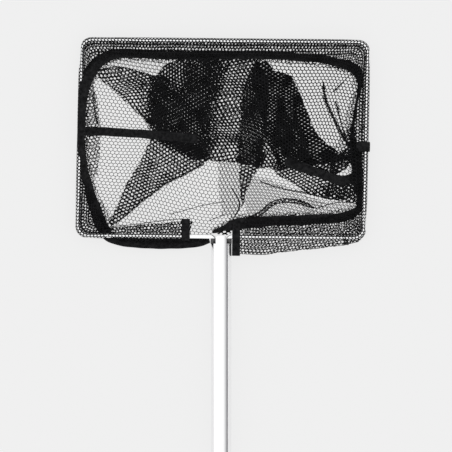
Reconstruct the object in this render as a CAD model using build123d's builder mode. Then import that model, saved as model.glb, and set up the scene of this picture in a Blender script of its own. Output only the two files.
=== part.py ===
from build123d import *
import os
from math import cos, radians, sin

# Leaf skimmer net, put down face up on the ground with its pole collapsed.
# A rectangular wire hoop carries a bag of knitted netting, and the hoop's two rod ends sit side
# by side in the top of a two-section telescopic pole.
# Frame (mm): +X across the hoop, +Y along the pole from the hand grip to the net, +Z up.
# The origin is on the ground, under the middle of the collapsed net.

os.makedirs("parts", exist_ok=True)

# ---- Driving dimensions, in millimetres and degrees ----

# Hoop: one length of round aluminium rod, bent to a slightly racked rectangle.
rod_d = 6.0
hoop_width = 390.4  # between the centrelines of the side bars
hoop_height = 267.2  # between the centrelines of the bottom and top bars
hoop_corner_r = 14.0
hoop_cross_lean = 0.54  # the cross bars fall this much to the right
hoop_side_lean = 1.3  # the side bars lean this much to the right
hoop_shift = 2.2  # the hoop's centre is this far right of the pole
leg_x = 9.7  # each rod end's distance from the pole's axis
leg_bend_r = 5.0
leg_len = 62.0  # from the bottom bar down into the pole

# Upper section of the pole: it takes the rod ends between two tongues of its wall.
outer_tube_d = 28.0
tube_wall = 1.2
outer_tube_len = 480.0
rim_above_bar = 1.0  # the tongues end this far above the bottom bar's centreline
notch_depth = 10.4
tongue_w = 15.0
tongue_corner_r = 3.0
plug_len = 62.0
plug_gap = 0.1  # all round, in the tube and round the rod ends
rivet_offsets = (22.0, 44.0)  # below the bottom of the notches
rivet_head_r = 3.4
rivet_head_h = 1.3
rivet_shank_r = 1.6
rivet_len = 9.0

# Twist lock at the upper section's lower end.
lock_r = 17.0
lock_sleeve_len = 40.0
lock_flange = 5.0
lock_neck_len = 23.0
lock_neck_r = 15.2
lock_slot = 2.0
lock_pin_r = 1.4
clamp_ring_len = 3.0
collar_r = 18.5
collar_lip = 4.3
collar_flutes = 18
collar_flute_r = 1.6
run_gap = 0.4  # between the collar and what it turns on

# Lower section, which slides in the upper one and turns in it.
inner_tube_d = 25.0
inner_top_below_plug = 16.0
glide_flange_len = 8.0
glide_spigot_len = 20.0
glide_gap = 0.1
slide_gap = 0.3  # between the lower tube and the lock's bore
grip_gap = 10.0  # bare tube between the collar and the grip
grip_len = 120.0
grip_r = 15.6
grip_rib_h = 0.9
grip_ribs = 14
cap_rim_len = 6.0
cap_rim_r = 15.0
cap_spigot_len = 18.0
cap_eye_len = 22.0
cap_eye_w = 22.0
cap_eye_t = 8.0
hang_hole_r = 4.5
hang_hole_from_end = 10.5

# Netting and its bindings, as plain solids of their outer shape.
sleeve_gap = 0.15
sleeve_t = 1.25
sleeve_left_x = -42.6  # the sleeve leaves the rod bare between these two ends
sleeve_right_x = 14.8
bag_inset = 8.5  # from the rod's centreline to the bag's outside
bag_depth = 13.0
bag_floor_t = 2.0
bag_wall_t = 3.0
bag_corner_r = 9.0
tape_w = 11.0
tape_t = 1.2
tape_bend_r = 12.0
seam_w = 13.0
loop_gap = 0.1
loop_t = 1.2
side_loop_v = -10.5  # the tape loop on the right side bar, from the hoop's centre
side_loop_len = 15.0

# ---- Worked out from the driving dimensions ----

rod_r = rod_d / 2
outer_r = outer_tube_d / 2
bore_r = outer_r - tube_wall
inner_r = inner_tube_d / 2
inner_bore_r = inner_r - tube_wall
axis_z = collar_r  # the collar is the pole's widest piece, and it touches the ground
half_w = hoop_width / 2
half_h = hoop_height / 2

lock_overhang = lock_flange + lock_neck_len + clamp_ring_len + 3 * run_gap + collar_lip
below_rim = outer_tube_len + lock_overhang + grip_gap + grip_len + cap_rim_len + cap_eye_len
hoop_reach = half_h * cos(radians(hoop_side_lean)) + half_w * sin(radians(hoop_cross_lean)) + rod_r
hoop_y = (half_h - rim_above_bar + below_rim - hoop_reach) / 2


def on_hoop(u, v):
    """Point of the racked hoop's plane, u to the right of and v above the hoop's centre."""
    x = hoop_shift + u * cos(radians(hoop_cross_lean)) + v * sin(radians(hoop_side_lean))
    y = hoop_y - u * sin(radians(hoop_cross_lean)) + v * cos(radians(hoop_side_lean))
    return (x, y)


def on_bottom_bar(x):
    """Point of the bottom bar's centreline at a given x."""
    u = (x - hoop_shift + half_h * sin(radians(hoop_side_lean))) / cos(radians(hoop_cross_lean))
    return (x, on_hoop(u, -half_h)[1])


def hoop_corners(inset):
    """The hoop's corners from bottom left, clockwise, moved in from the centreline."""
    signs = ((-1, -1), (-1, 1), (1, 1), (1, -1))
    return [on_hoop(a * (half_w - inset), b * (half_h - inset)) for a, b in signs]


rim_y = on_bottom_bar(0)[1] + rim_above_bar
notch_y = rim_y - notch_depth
plug_top_y = notch_y - 1.0
plug_end_y = plug_top_y - plug_len
tube_end_y = rim_y - outer_tube_len
neck_end_y = tube_end_y - lock_flange - lock_neck_len
clamp_top_y = neck_end_y - run_gap
clamp_end_y = clamp_top_y - clamp_ring_len
collar_top_y = tube_end_y - lock_flange - run_gap
collar_end_y = clamp_end_y - run_gap - collar_lip
inner_top_y = plug_end_y - inner_top_below_plug
grip_top_y = collar_end_y - grip_gap
grip_end_y = grip_top_y - grip_len
cap_rim_end_y = grip_end_y - cap_rim_len
butt_y = cap_rim_end_y - cap_eye_len
hang_hole_y = butt_y + hang_hole_from_end

pole_plane = Plane.XY.offset(axis_z)  # sketch x is the radius, sketch y runs along the pole
pole_axis = Axis((0, 0, axis_z), (0, 1, 0))

# ---- Hoop ----

with BuildPart() as hoop_rod:
    with BuildLine(pole_plane) as rod_path:
        FilletPolyline(
            (-leg_x, on_bottom_bar(-leg_x)[1] - leg_len),
            on_bottom_bar(-leg_x),
            *hoop_corners(0),
            on_bottom_bar(leg_x),
            (leg_x, on_bottom_bar(leg_x)[1] - leg_len),
            radius=[leg_bend_r] + 4 * [hoop_corner_r] + [leg_bend_r],
        )
    with BuildSketch(Plane(origin=rod_path.line @ 0, z_dir=rod_path.line % 0)):
        Circle(rod_r)
    sweep()
hoop_rod.part.label = "hoop_rod"
export_step(hoop_rod.part, "parts/hoop_rod.step")

# ---- Netting and bindings ----

with BuildPart() as net_sleeve:
    with BuildLine(pole_plane) as sleeve_path:
        FilletPolyline(
            on_bottom_bar(sleeve_left_x),
            *hoop_corners(0),
            on_bottom_bar(sleeve_right_x),
            radius=hoop_corner_r,
        )
    with BuildSketch(Plane(origin=sleeve_path.line @ 0, z_dir=sleeve_path.line % 0)):
        Circle(rod_r + sleeve_gap + sleeve_t)
        Circle(rod_r + sleeve_gap, mode=Mode.SUBTRACT)
    sweep()
net_sleeve.part.label = "net_sleeve"
export_step(net_sleeve.part, "parts/net_sleeve.step")

with BuildPart() as net_bag:
    with BuildSketch():
        with BuildLine():
            Polyline(*hoop_corners(bag_inset), close=True)
        make_face()
        fillet(vertices(), bag_corner_r)
    extrude(amount=bag_depth)
    with BuildSketch(Plane.XY.offset(bag_floor_t)):
        with BuildLine():
            Polyline(*hoop_corners(bag_inset + bag_wall_t), close=True)
        make_face()
        fillet(vertices(), bag_corner_r - bag_wall_t)
    extrude(amount=bag_depth, mode=Mode.SUBTRACT)
net_bag.part.label = "net_bag"
export_step(net_bag.part, "parts/net_bag.step")

# The mouth's binding tape starts under the bottom bar, left of the pole, crosses the bar at the
# left corner, runs round inside the hoop and comes back above the bottom bar, right of the pole.
# Places are x and height above the hoop's centre.
mouth_route = (
    (-20, -141.0),
    (-72, -143.0),
    (-132, -142.0),
    (-152, -137.0),
    (-169, -104.0),
    (-187, -45.0),
    (-191.5, -12.0),
    (-191.0, 76.0),
    (-153, 116.5),
    (-29, 115.3),
    (108, 112.6),
    (165, 109.0),
    (188, 84.0),
    (178, 8.0),
    (185.5, -30.0),
    (185.5, -92.0),
    (169, -110.8),
    (108, -113.5),
    (56, -119.7),
    (19, -121.5),
)
tape_z = axis_z + rod_r + sleeve_gap + sleeve_t + loop_t + 0.6  # clear over the sleeve and loops

with BuildPart() as mouth_binding:
    with BuildSketch(Plane.XY.offset(tape_z)):
        with BuildLine():
            FilletPolyline(*[(x, hoop_y + v) for x, v in mouth_route], radius=tape_bend_r)
        trace(line_width=tape_w)
    extrude(amount=tape_t)
mouth_binding.part.label = "mouth_binding"
export_step(mouth_binding.part, "parts/mouth_binding.step")

# The bag's two side seams, laid on its floor.
with BuildPart() as left_seam_binding:
    with BuildSketch(Plane.XY.offset(bag_floor_t)):
        with BuildLine():
            Line((-180, hoop_y + 9.5), (-77, hoop_y + 4.0))
        trace(line_width=seam_w)
    extrude(amount=tape_t)
left_seam_binding.part.label = "left_seam_binding"
export_step(left_seam_binding.part, "parts/left_seam_binding.step")

with BuildPart() as right_seam_binding:
    with BuildSketch(Plane.XY.offset(bag_floor_t)):
        with BuildLine():
            Polyline((108, hoop_y - 28.8), (151, hoop_y - 43.8), (177, hoop_y - 51.5))
        trace(line_width=seam_w)
    extrude(amount=tape_t)
right_seam_binding.part.label = "right_seam_binding"
export_step(right_seam_binding.part, "parts/right_seam_binding.step")

# Where the right seam reaches the hoop, its tape wraps round the sleeve.
loop_in_r = rod_r + sleeve_gap + sleeve_t + loop_gap
side_loop_low = on_hoop(half_w, side_loop_v - side_loop_len / 2)
side_loop_high = on_hoop(half_w, side_loop_v + side_loop_len / 2)

with BuildPart() as side_loop:
    with BuildLine(pole_plane) as side_bar:
        Line(side_loop_low, side_loop_high)
    with BuildSketch(Plane(origin=side_bar.line @ 0, z_dir=side_bar.line % 0)):
        Circle(loop_in_r + loop_t)
        Circle(loop_in_r, mode=Mode.SUBTRACT)
    sweep()
side_loop.part.label = "side_loop"
export_step(side_loop.part, "parts/side_loop.step")

# The sleeve's two ends beside the pole are bound with tape: a ring round the sleeve, and tabs
# where the slack of the sleeve is gathered. Sketch x is along the pole, sketch y is up.
left_end_y = on_bottom_bar(sleeve_left_x - tape_w / 2)[1]
right_end_y = on_bottom_bar(sleeve_right_x + tape_w / 2)[1]
tab_up_left = 24.0
tab_up_right = 20.0
tab_down_right = 25.0

left_end_plane = Plane((sleeve_left_x - tape_w, left_end_y, axis_z), x_dir=(0, 1, 0), z_dir=(1, 0, 0))
with BuildPart() as left_end_binding:
    with BuildSketch(left_end_plane):
        Circle(loop_in_r + loop_t)
        Rectangle(tab_up_left, 2 * tape_t, align=(Align.MIN, Align.CENTER))
        Circle(loop_in_r, mode=Mode.SUBTRACT)
    extrude(amount=tape_w)
left_end_binding.part.label = "left_end_binding"
export_step(left_end_binding.part, "parts/left_end_binding.step")

right_end_plane = Plane((sleeve_right_x, right_end_y, axis_z), x_dir=(0, 1, 0), z_dir=(1, 0, 0))
with BuildPart() as right_end_binding:
    with BuildSketch(right_end_plane):
        Circle(loop_in_r + loop_t)
        Rectangle(tab_up_right, 2 * tape_t, align=(Align.MIN, Align.CENTER))
        Rectangle(tab_down_right, 2 * tape_t, align=(Align.MAX, Align.CENTER))
        Circle(loop_in_r, mode=Mode.SUBTRACT)
    extrude(amount=tape_w)
right_end_binding.part.label = "right_end_binding"
export_step(right_end_binding.part, "parts/right_end_binding.step")

# ---- Upper section of the pole ----

rivet_places = [(0, notch_y - offset) for offset in rivet_offsets]
pin_y = tube_end_y + lock_sleeve_len / 2
pin_plane = Plane((0, pin_y, axis_z), x_dir=(0, 1, 0), z_dir=(1, 0, 0))

with BuildPart() as outer_tube:
    with BuildSketch(pole_plane):
        with BuildLine():
            Polyline(
                (bore_r, tube_end_y),
                (outer_r, tube_end_y),
                (outer_r, rim_y),
                (bore_r, rim_y),
                close=True,
            )
        make_face()
    revolve(axis=pole_axis)
    # The side notches leave one tongue of wall in front and one behind.
    with BuildSketch():
        with Locations((0, notch_y)):
            Rectangle(4 * outer_r, 2 * notch_depth, align=(Align.CENTER, Align.MIN))
        with Locations((0, rim_y)):
            RectangleRounded(
                tongue_w,
                2 * notch_depth,
                tongue_corner_r,
                align=(Align.CENTER, Align.MAX),
                mode=Mode.SUBTRACT,
            )
    extrude(amount=2 * axis_z, mode=Mode.SUBTRACT)
    with BuildSketch():
        with Locations(*rivet_places):
            Circle(rivet_shank_r + plug_gap)
    extrude(amount=axis_z, mode=Mode.SUBTRACT)
    with BuildSketch(pin_plane):
        Circle(lock_pin_r + plug_gap)
    extrude(amount=2 * outer_r, both=True, mode=Mode.SUBTRACT)
outer_tube.part.label = "outer_tube"
export_step(outer_tube.part, "parts/outer_tube.step")

with BuildPart() as head_plug:
    with BuildSketch(pole_plane):
        with BuildLine():
            Polyline(
                (0, plug_end_y),
                (bore_r - 2, plug_end_y),
                (bore_r - plug_gap, plug_end_y + 2),
                (bore_r - plug_gap, plug_top_y - 1),
                (bore_r - 1 - plug_gap, plug_top_y),
                (0, plug_top_y),
                close=True,
            )
        make_face()
    revolve(axis=pole_axis)
    # Open channels that hold the two rod ends apart and against the tube's wall.
    channel_end_y = on_bottom_bar(0)[1] - leg_len - 1
    with BuildSketch(Plane((0, channel_end_y, axis_z), x_dir=(1, 0, 0), z_dir=(0, 1, 0))):
        with Locations((-leg_x, 0), (leg_x, 0)):
            Circle(rod_r + plug_gap)
    extrude(amount=plug_len, mode=Mode.SUBTRACT)
    with BuildSketch():
        with Locations(*rivet_places):
            Circle(rivet_shank_r + plug_gap)
    extrude(amount=axis_z, mode=Mode.SUBTRACT)
head_plug.part.label = "head_plug"
export_step(head_plug.part, "parts/head_plug.step")

# Two blind rivets hold the plug, and with it the hoop, from the back of the tube.
rivet_seat_z = axis_z - outer_r
with BuildPart() as head_rivets:
    with BuildSketch(Plane.XY.offset(rivet_seat_z - rivet_head_h)):
        with Locations(*rivet_places):
            Circle(rivet_head_r)
    extrude(amount=rivet_head_h)
    fillet(head_rivets.edges().group_by(Axis.Z)[0], rivet_head_h * 0.7)
    with BuildSketch(Plane.XY.offset(rivet_seat_z)):
        with Locations(*rivet_places):
            Circle(rivet_shank_r)
    extrude(amount=rivet_len)
head_rivets.part.label = "head_rivets"
export_step(head_rivets.part, "parts/head_rivets.step")

# ---- Twist lock ----

with BuildPart() as lock_body:
    with BuildSketch(pole_plane):
        with BuildLine():
            Polyline(
                (inner_r + slide_gap, neck_end_y),
                (lock_neck_r - 0.8, neck_end_y),
                (lock_neck_r, neck_end_y + 3),
                (lock_neck_r, tube_end_y - lock_flange),
                (lock_r, tube_end_y - lock_flange),
                (lock_r, tube_end_y + lock_sleeve_len - 6),
                (outer_r + 1.2, tube_end_y + lock_sleeve_len),
                (outer_r + glide_gap, tube_end_y + lock_sleeve_len),
                (outer_r + glide_gap, tube_end_y),
                (inner_r + slide_gap, tube_end_y),
                close=True,
            )
        make_face()
    revolve(axis=pole_axis)
    # Two crossed slots make the neck's end springy.
    slot_len = lock_neck_len * 0.7
    with BuildSketch(Plane((0, neck_end_y, axis_z), x_dir=(1, 0, 0), z_dir=(0, 1, 0))):
        Rectangle(2 * lock_r, lock_slot)
        Rectangle(lock_slot, 2 * lock_r)
    extrude(amount=slot_len, mode=Mode.SUBTRACT)
    with BuildSketch(pin_plane):
        Circle(lock_pin_r + plug_gap)
    extrude(amount=2 * lock_r, both=True, mode=Mode.SUBTRACT)
lock_body.part.label = "lock_body"
export_step(lock_body.part, "parts/lock_body.step")

with BuildPart() as lock_pins:
    with BuildSketch(pin_plane.offset(bore_r + 0.2)):
        Circle(lock_pin_r)
    extrude(amount=lock_r - bore_r - 0.4)
    mirror(about=Plane.YZ)
lock_pins.part.label = "lock_pins"
export_step(lock_pins.part, "parts/lock_pins.step")

with BuildPart() as clamp_ring:
    with BuildSketch(pole_plane):
        with BuildLine():
            Polyline(
                (inner_r + slide_gap, clamp_end_y),
                (lock_neck_r - 1.2, clamp_end_y),
                (lock_neck_r, clamp_top_y),
                (inner_r + slide_gap, clamp_top_y),
                close=True,
            )
        make_face()
    revolve(axis=pole_axis)
    # The ring is split on top so that it can close on the tube.
    with BuildSketch(Plane((0, clamp_end_y, axis_z), x_dir=(1, 0, 0), z_dir=(0, 1, 0))):
        with Locations((0, -lock_neck_r)):
            Rectangle(lock_slot, 2 * tube_wall + lock_neck_r)
    extrude(amount=clamp_ring_len, mode=Mode.SUBTRACT)
clamp_ring.part.label = "clamp_ring"
export_step(clamp_ring.part, "parts/clamp_ring.step")

with BuildPart() as lock_collar:
    with BuildSketch(pole_plane):
        with BuildLine():
            Polyline(
                (inner_r + slide_gap + 0.2, collar_end_y),
                (collar_r - 2.5, collar_end_y),
                (collar_r, collar_end_y + 2.5),
                (collar_r, collar_top_y - 1),
                (collar_r - 1, collar_top_y),
                (lock_neck_r + run_gap, collar_top_y),
                (lock_neck_r + run_gap, collar_end_y + collar_lip),
                (inner_r + slide_gap + 0.2, collar_end_y + collar_lip),
                close=True,
            )
        make_face()
    revolve(axis=pole_axis)
    flute_start_y = collar_end_y + 4
    with BuildSketch(Plane((0, flute_start_y, axis_z), x_dir=(1, 0, 0), z_dir=(0, 1, 0))):
        with PolarLocations(collar_r + collar_flute_r / 2, collar_flutes, start_angle=10):
            Circle(collar_flute_r)
    extrude(amount=collar_top_y - 4 - flute_start_y, mode=Mode.SUBTRACT)
lock_collar.part.label = "lock_collar"
export_step(lock_collar.part, "parts/lock_collar.step")

# ---- Lower section of the pole ----

with BuildPart() as glide_ring:
    with BuildSketch(pole_plane):
        with BuildLine():
            Polyline(
                (inner_bore_r - 3, inner_top_y - glide_spigot_len),
                (inner_bore_r - glide_gap, inner_top_y - glide_spigot_len),
                (inner_bore_r - glide_gap, inner_top_y),
                (bore_r - glide_gap, inner_top_y),
                (bore_r - glide_gap, inner_top_y + glide_flange_len - 1),
                (bore_r - 1, inner_top_y + glide_flange_len),
                (inner_bore_r - 3, inner_top_y + glide_flange_len),
                close=True,
            )
        make_face()
    revolve(axis=pole_axis)
glide_ring.part.label = "glide_ring"
export_step(glide_ring.part, "parts/glide_ring.step")

with BuildPart() as inner_tube:
    with BuildSketch(pole_plane):
        with BuildLine():
            Polyline(
                (inner_bore_r, grip_end_y),
                (inner_r, grip_end_y),
                (inner_r, inner_top_y - glide_gap),
                (inner_bore_r, inner_top_y - glide_gap),
                close=True,
            )
        make_face()
    revolve(axis=pole_axis)
inner_tube.part.label = "inner_tube"
export_step(inner_tube.part, "parts/inner_tube.step")

rib_pitch = (grip_len - 16) / grip_ribs
with BuildPart() as hand_grip:
    with BuildSketch(pole_plane):
        with BuildLine():
            Polyline(
                (inner_r, grip_end_y + glide_gap),
                (grip_r, grip_end_y + glide_gap),
                (grip_r, grip_top_y - 3),
                (grip_r - 2, grip_top_y),
                (inner_r, grip_top_y),
                close=True,
            )
        make_face()
        with Locations(*[(grip_r, grip_end_y + 8 + rib_pitch * (k + 0.5)) for k in range(grip_ribs)]):
            RectangleRounded(2 * grip_rib_h, rib_pitch * 0.6, grip_rib_h * 0.7)
    revolve(axis=pole_axis)
hand_grip.part.label = "hand_grip"
export_step(hand_grip.part, "parts/hand_grip.step")

with BuildPart() as end_cap:
    with BuildSketch(pole_plane):
        with BuildLine():
            Polyline(
                (0, cap_rim_end_y),
                (cap_rim_r - 2, cap_rim_end_y),
                (cap_rim_r, cap_rim_end_y + 2),
                (cap_rim_r, grip_end_y),
                (inner_bore_r - glide_gap, grip_end_y),
                (inner_bore_r - glide_gap, grip_end_y + cap_spigot_len - 1),
                (inner_bore_r - 1, grip_end_y + cap_spigot_len),
                (0, grip_end_y + cap_spigot_len),
                close=True,
            )
        make_face()
    revolve(axis=pole_axis)
    # A flat eye behind the rim, with the hole that hangs the net up.
    with BuildSketch(Plane.XY.offset(axis_z - cap_eye_t / 2)):
        with Locations((0, butt_y)):
            Rectangle(cap_eye_w, cap_eye_len, align=(Align.CENTER, Align.MIN))
        fillet(vertices().group_by(Axis.Y)[0], cap_eye_w * 0.4)
    extrude(amount=cap_eye_t)
    with BuildSketch(Plane.XY.offset(axis_z - cap_eye_t / 2)):
        with Locations((0, hang_hole_y)):
            Circle(hang_hole_r)
    extrude(amount=cap_eye_t, mode=Mode.SUBTRACT)
end_cap.part.label = "end_cap"
export_step(end_cap.part, "parts/end_cap.step")

print(f"hoop centre y {hoop_y:.2f}, rim y {rim_y:.2f}, tube end y {tube_end_y:.2f}, butt y {butt_y:.2f}")
print(f"hang hole y {hang_hole_y:.2f}, collar {collar_end_y:.2f} to {collar_top_y:.2f}")
print(f"inner tube top y {inner_top_y:.2f}, pole axis z {axis_z:.2f}")
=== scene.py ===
"""Leaf skimmer net: the looks of the netting, its tapes and the pole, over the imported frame."""

import logging
import math
from collections.abc import Callable
from dataclasses import dataclass, field, replace
from enum import Enum

import bpy
import numpy as np
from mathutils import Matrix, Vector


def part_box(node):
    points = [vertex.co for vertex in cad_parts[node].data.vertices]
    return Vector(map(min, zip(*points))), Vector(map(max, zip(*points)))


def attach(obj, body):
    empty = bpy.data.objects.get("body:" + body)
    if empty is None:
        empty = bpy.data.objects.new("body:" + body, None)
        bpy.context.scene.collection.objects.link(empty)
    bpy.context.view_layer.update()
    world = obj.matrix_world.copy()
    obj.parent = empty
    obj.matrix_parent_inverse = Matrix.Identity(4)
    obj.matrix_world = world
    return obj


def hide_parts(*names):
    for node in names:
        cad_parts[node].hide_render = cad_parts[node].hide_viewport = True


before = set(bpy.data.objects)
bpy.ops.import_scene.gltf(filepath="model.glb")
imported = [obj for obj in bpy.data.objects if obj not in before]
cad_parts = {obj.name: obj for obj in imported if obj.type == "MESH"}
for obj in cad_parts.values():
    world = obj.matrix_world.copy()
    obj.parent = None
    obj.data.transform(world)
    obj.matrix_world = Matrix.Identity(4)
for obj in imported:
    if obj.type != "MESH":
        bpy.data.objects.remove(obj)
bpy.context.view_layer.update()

log = logging.getLogger("skimmer_net")
MM = 0.001
JITTER_WAVE = 26.0  # millimetres between the crests of a layer's own unevenness
BODY = "net_and_pole"
WHITE = (1.0, 1.0, 1.0, 1.0)
Surface = Callable[[np.ndarray], np.ndarray]


# ---- Places -------------------------------------------------------------------------------


@dataclass(frozen=True)
class HoopPlace:
    """The hoop's centre and plane in the shared frame, in metres."""

    x: float
    y: float
    z: float

    @classmethod
    def read(cls) -> "HoopPlace":
        """Read the place from the sleeve, which is centred on the hoop.

        Returns:
            The hoop's place.
        """
        low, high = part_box("net_sleeve")
        return cls(*((low[i] + high[i]) / 2 for i in range(3)))

    def world(self, points: np.ndarray) -> np.ndarray:
        """Turn netting places into the shared frame.

        Args:
            points: Rows of millimetres right of the pole, above the hoop's centre, above ground.

        Returns:
            Rows of metres in the shared frame.
        """
        return points * MM + np.array([0.0, self.y, 0.0])


PLACE = HoopPlace.read()
ROD_Z = PLACE.z / MM


# ---- Lines and outlines, in millimetres ---------------------------------------------------


def rounded(points: np.ndarray, rounds: int = 2, closed: bool = True) -> np.ndarray:
    """Cut a line's corners so that it bends smoothly.

    Args:
        points: The line's points.
        rounds: How many times the corners are cut.
        closed: Whether the last point joins the first.

    Returns:
        The smoother line.
    """
    line = np.asarray(points, float)
    for _ in range(rounds):
        after = np.roll(line, -1, axis=0)
        pairs = np.stack([0.75 * line + 0.25 * after, 0.25 * line + 0.75 * after], axis=1)
        cut = pairs.reshape(-1, line.shape[1])
        line = cut if closed else np.vstack([line[:1], cut[:-2], line[-1:]])
    return line


def even_steps(line: np.ndarray, step: float, key: int = 2) -> np.ndarray:
    """Place points along a line at even steps.

    Args:
        line: Rows whose first values are coordinates; any others are carried along.
        step: The distance between points.
        key: How many of the values are coordinates.

    Returns:
        The resampled rows.
    """
    runs = np.linalg.norm(np.diff(line[:, :key], axis=0), axis=1)
    along = np.concatenate([[0.0], np.cumsum(runs)])
    count = max(2, int(round(along[-1] / step)) + 1)
    places = np.linspace(0.0, along[-1], count)
    return np.stack([np.interp(places, along, column) for column in line.T], axis=1)


def line_length(line: np.ndarray) -> np.ndarray:
    """Distance along a line at each of its points."""
    runs = np.linalg.norm(np.diff(line, axis=0), axis=1)
    return np.concatenate([[0.0], np.cumsum(runs)])


def across_line(line: np.ndarray) -> np.ndarray:
    """Direction to the left of a line at each of its points."""
    way = np.gradient(line, axis=0)
    side = np.column_stack([-way[:, 1], way[:, 0]])
    return side / np.linalg.norm(side, axis=1, keepdims=True)


def distance_to_line(points: np.ndarray, line: np.ndarray) -> np.ndarray:
    """Distance of each point from the nearest run of a line.

    Args:
        points: Rows of x and y.
        line: The line's points, in order.

    Returns:
        One distance for each point.
    """
    nearest = np.full(len(points), np.inf)
    for start, end in zip(line[:-1], line[1:]):
        run = end - start
        share = np.clip((points - start) @ run / max(run @ run, 1e-9), 0.0, 1.0)
        nearest = np.minimum(nearest, np.linalg.norm(points - start - share[:, None] * run, axis=1))
    return nearest


def is_inside(points: np.ndarray, outline: np.ndarray) -> np.ndarray:
    """Tell which points lie inside a closed outline.

    Args:
        points: Places on the flat netting.
        outline: The outline's corners.

    Returns:
        True for each point inside.
    """
    hits = np.zeros(len(points), bool)
    for (ax, ay), (bx, by) in zip(outline, np.roll(outline, -1, axis=0)):
        if ay == by:
            continue
        spans = (ay > points[:, 1]) != (by > points[:, 1])
        edge_x = ax + (points[:, 1] - ay) * (bx - ax) / (by - ay)
        hits ^= spans & (points[:, 0] < edge_x)
    return hits


def outline_area(outline: np.ndarray) -> float:
    """Area inside a closed outline."""
    after = np.roll(outline, -1, axis=0)
    return abs(float(np.sum(outline[:, 0] * after[:, 1] - after[:, 0] * outline[:, 1]))) / 2


def ripple(points: np.ndarray, seed: int, amount: float, wave: float) -> np.ndarray:
    """Smooth uneven shift of points, as netting that has been handled.

    Args:
        points: Rows of x and y.
        seed: Which pattern of shifts.
        amount: The usual size of a shift.
        wave: The usual distance between its crests.

    Returns:
        The shift of each point.
    """
    chance = np.random.default_rng(seed)
    shift = np.zeros((len(points), 2))
    waves = 5
    for _ in range(waves):
        turn = chance.uniform(0.0, math.tau)
        count = math.tau / (wave * chance.uniform(0.7, 1.7))
        phase = chance.uniform(0.0, math.tau, 2)
        along = points @ np.array([math.cos(turn), math.sin(turn)]) * count
        shift += np.sin(along[:, None] + phase)
    return shift * amount / math.sqrt(waves)


# ---- Knitted netting ----------------------------------------------------------------------


@dataclass
class Strands:
    """Netting ready to become a mesh: points in millimetres, faces and flat places."""

    points: np.ndarray
    faces: np.ndarray
    flat: np.ndarray

    @classmethod
    def joined(cls, parts: list["Strands"]) -> "Strands":
        """Join several runs of netting into one."""
        offsets = np.cumsum([0] + [len(part.points) for part in parts[:-1]])
        return cls(
            np.vstack([part.points for part in parts]),
            np.vstack([part.faces + offset for part, offset in zip(parts, offsets)]),
            np.vstack([part.flat for part in parts]),
        )


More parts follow.
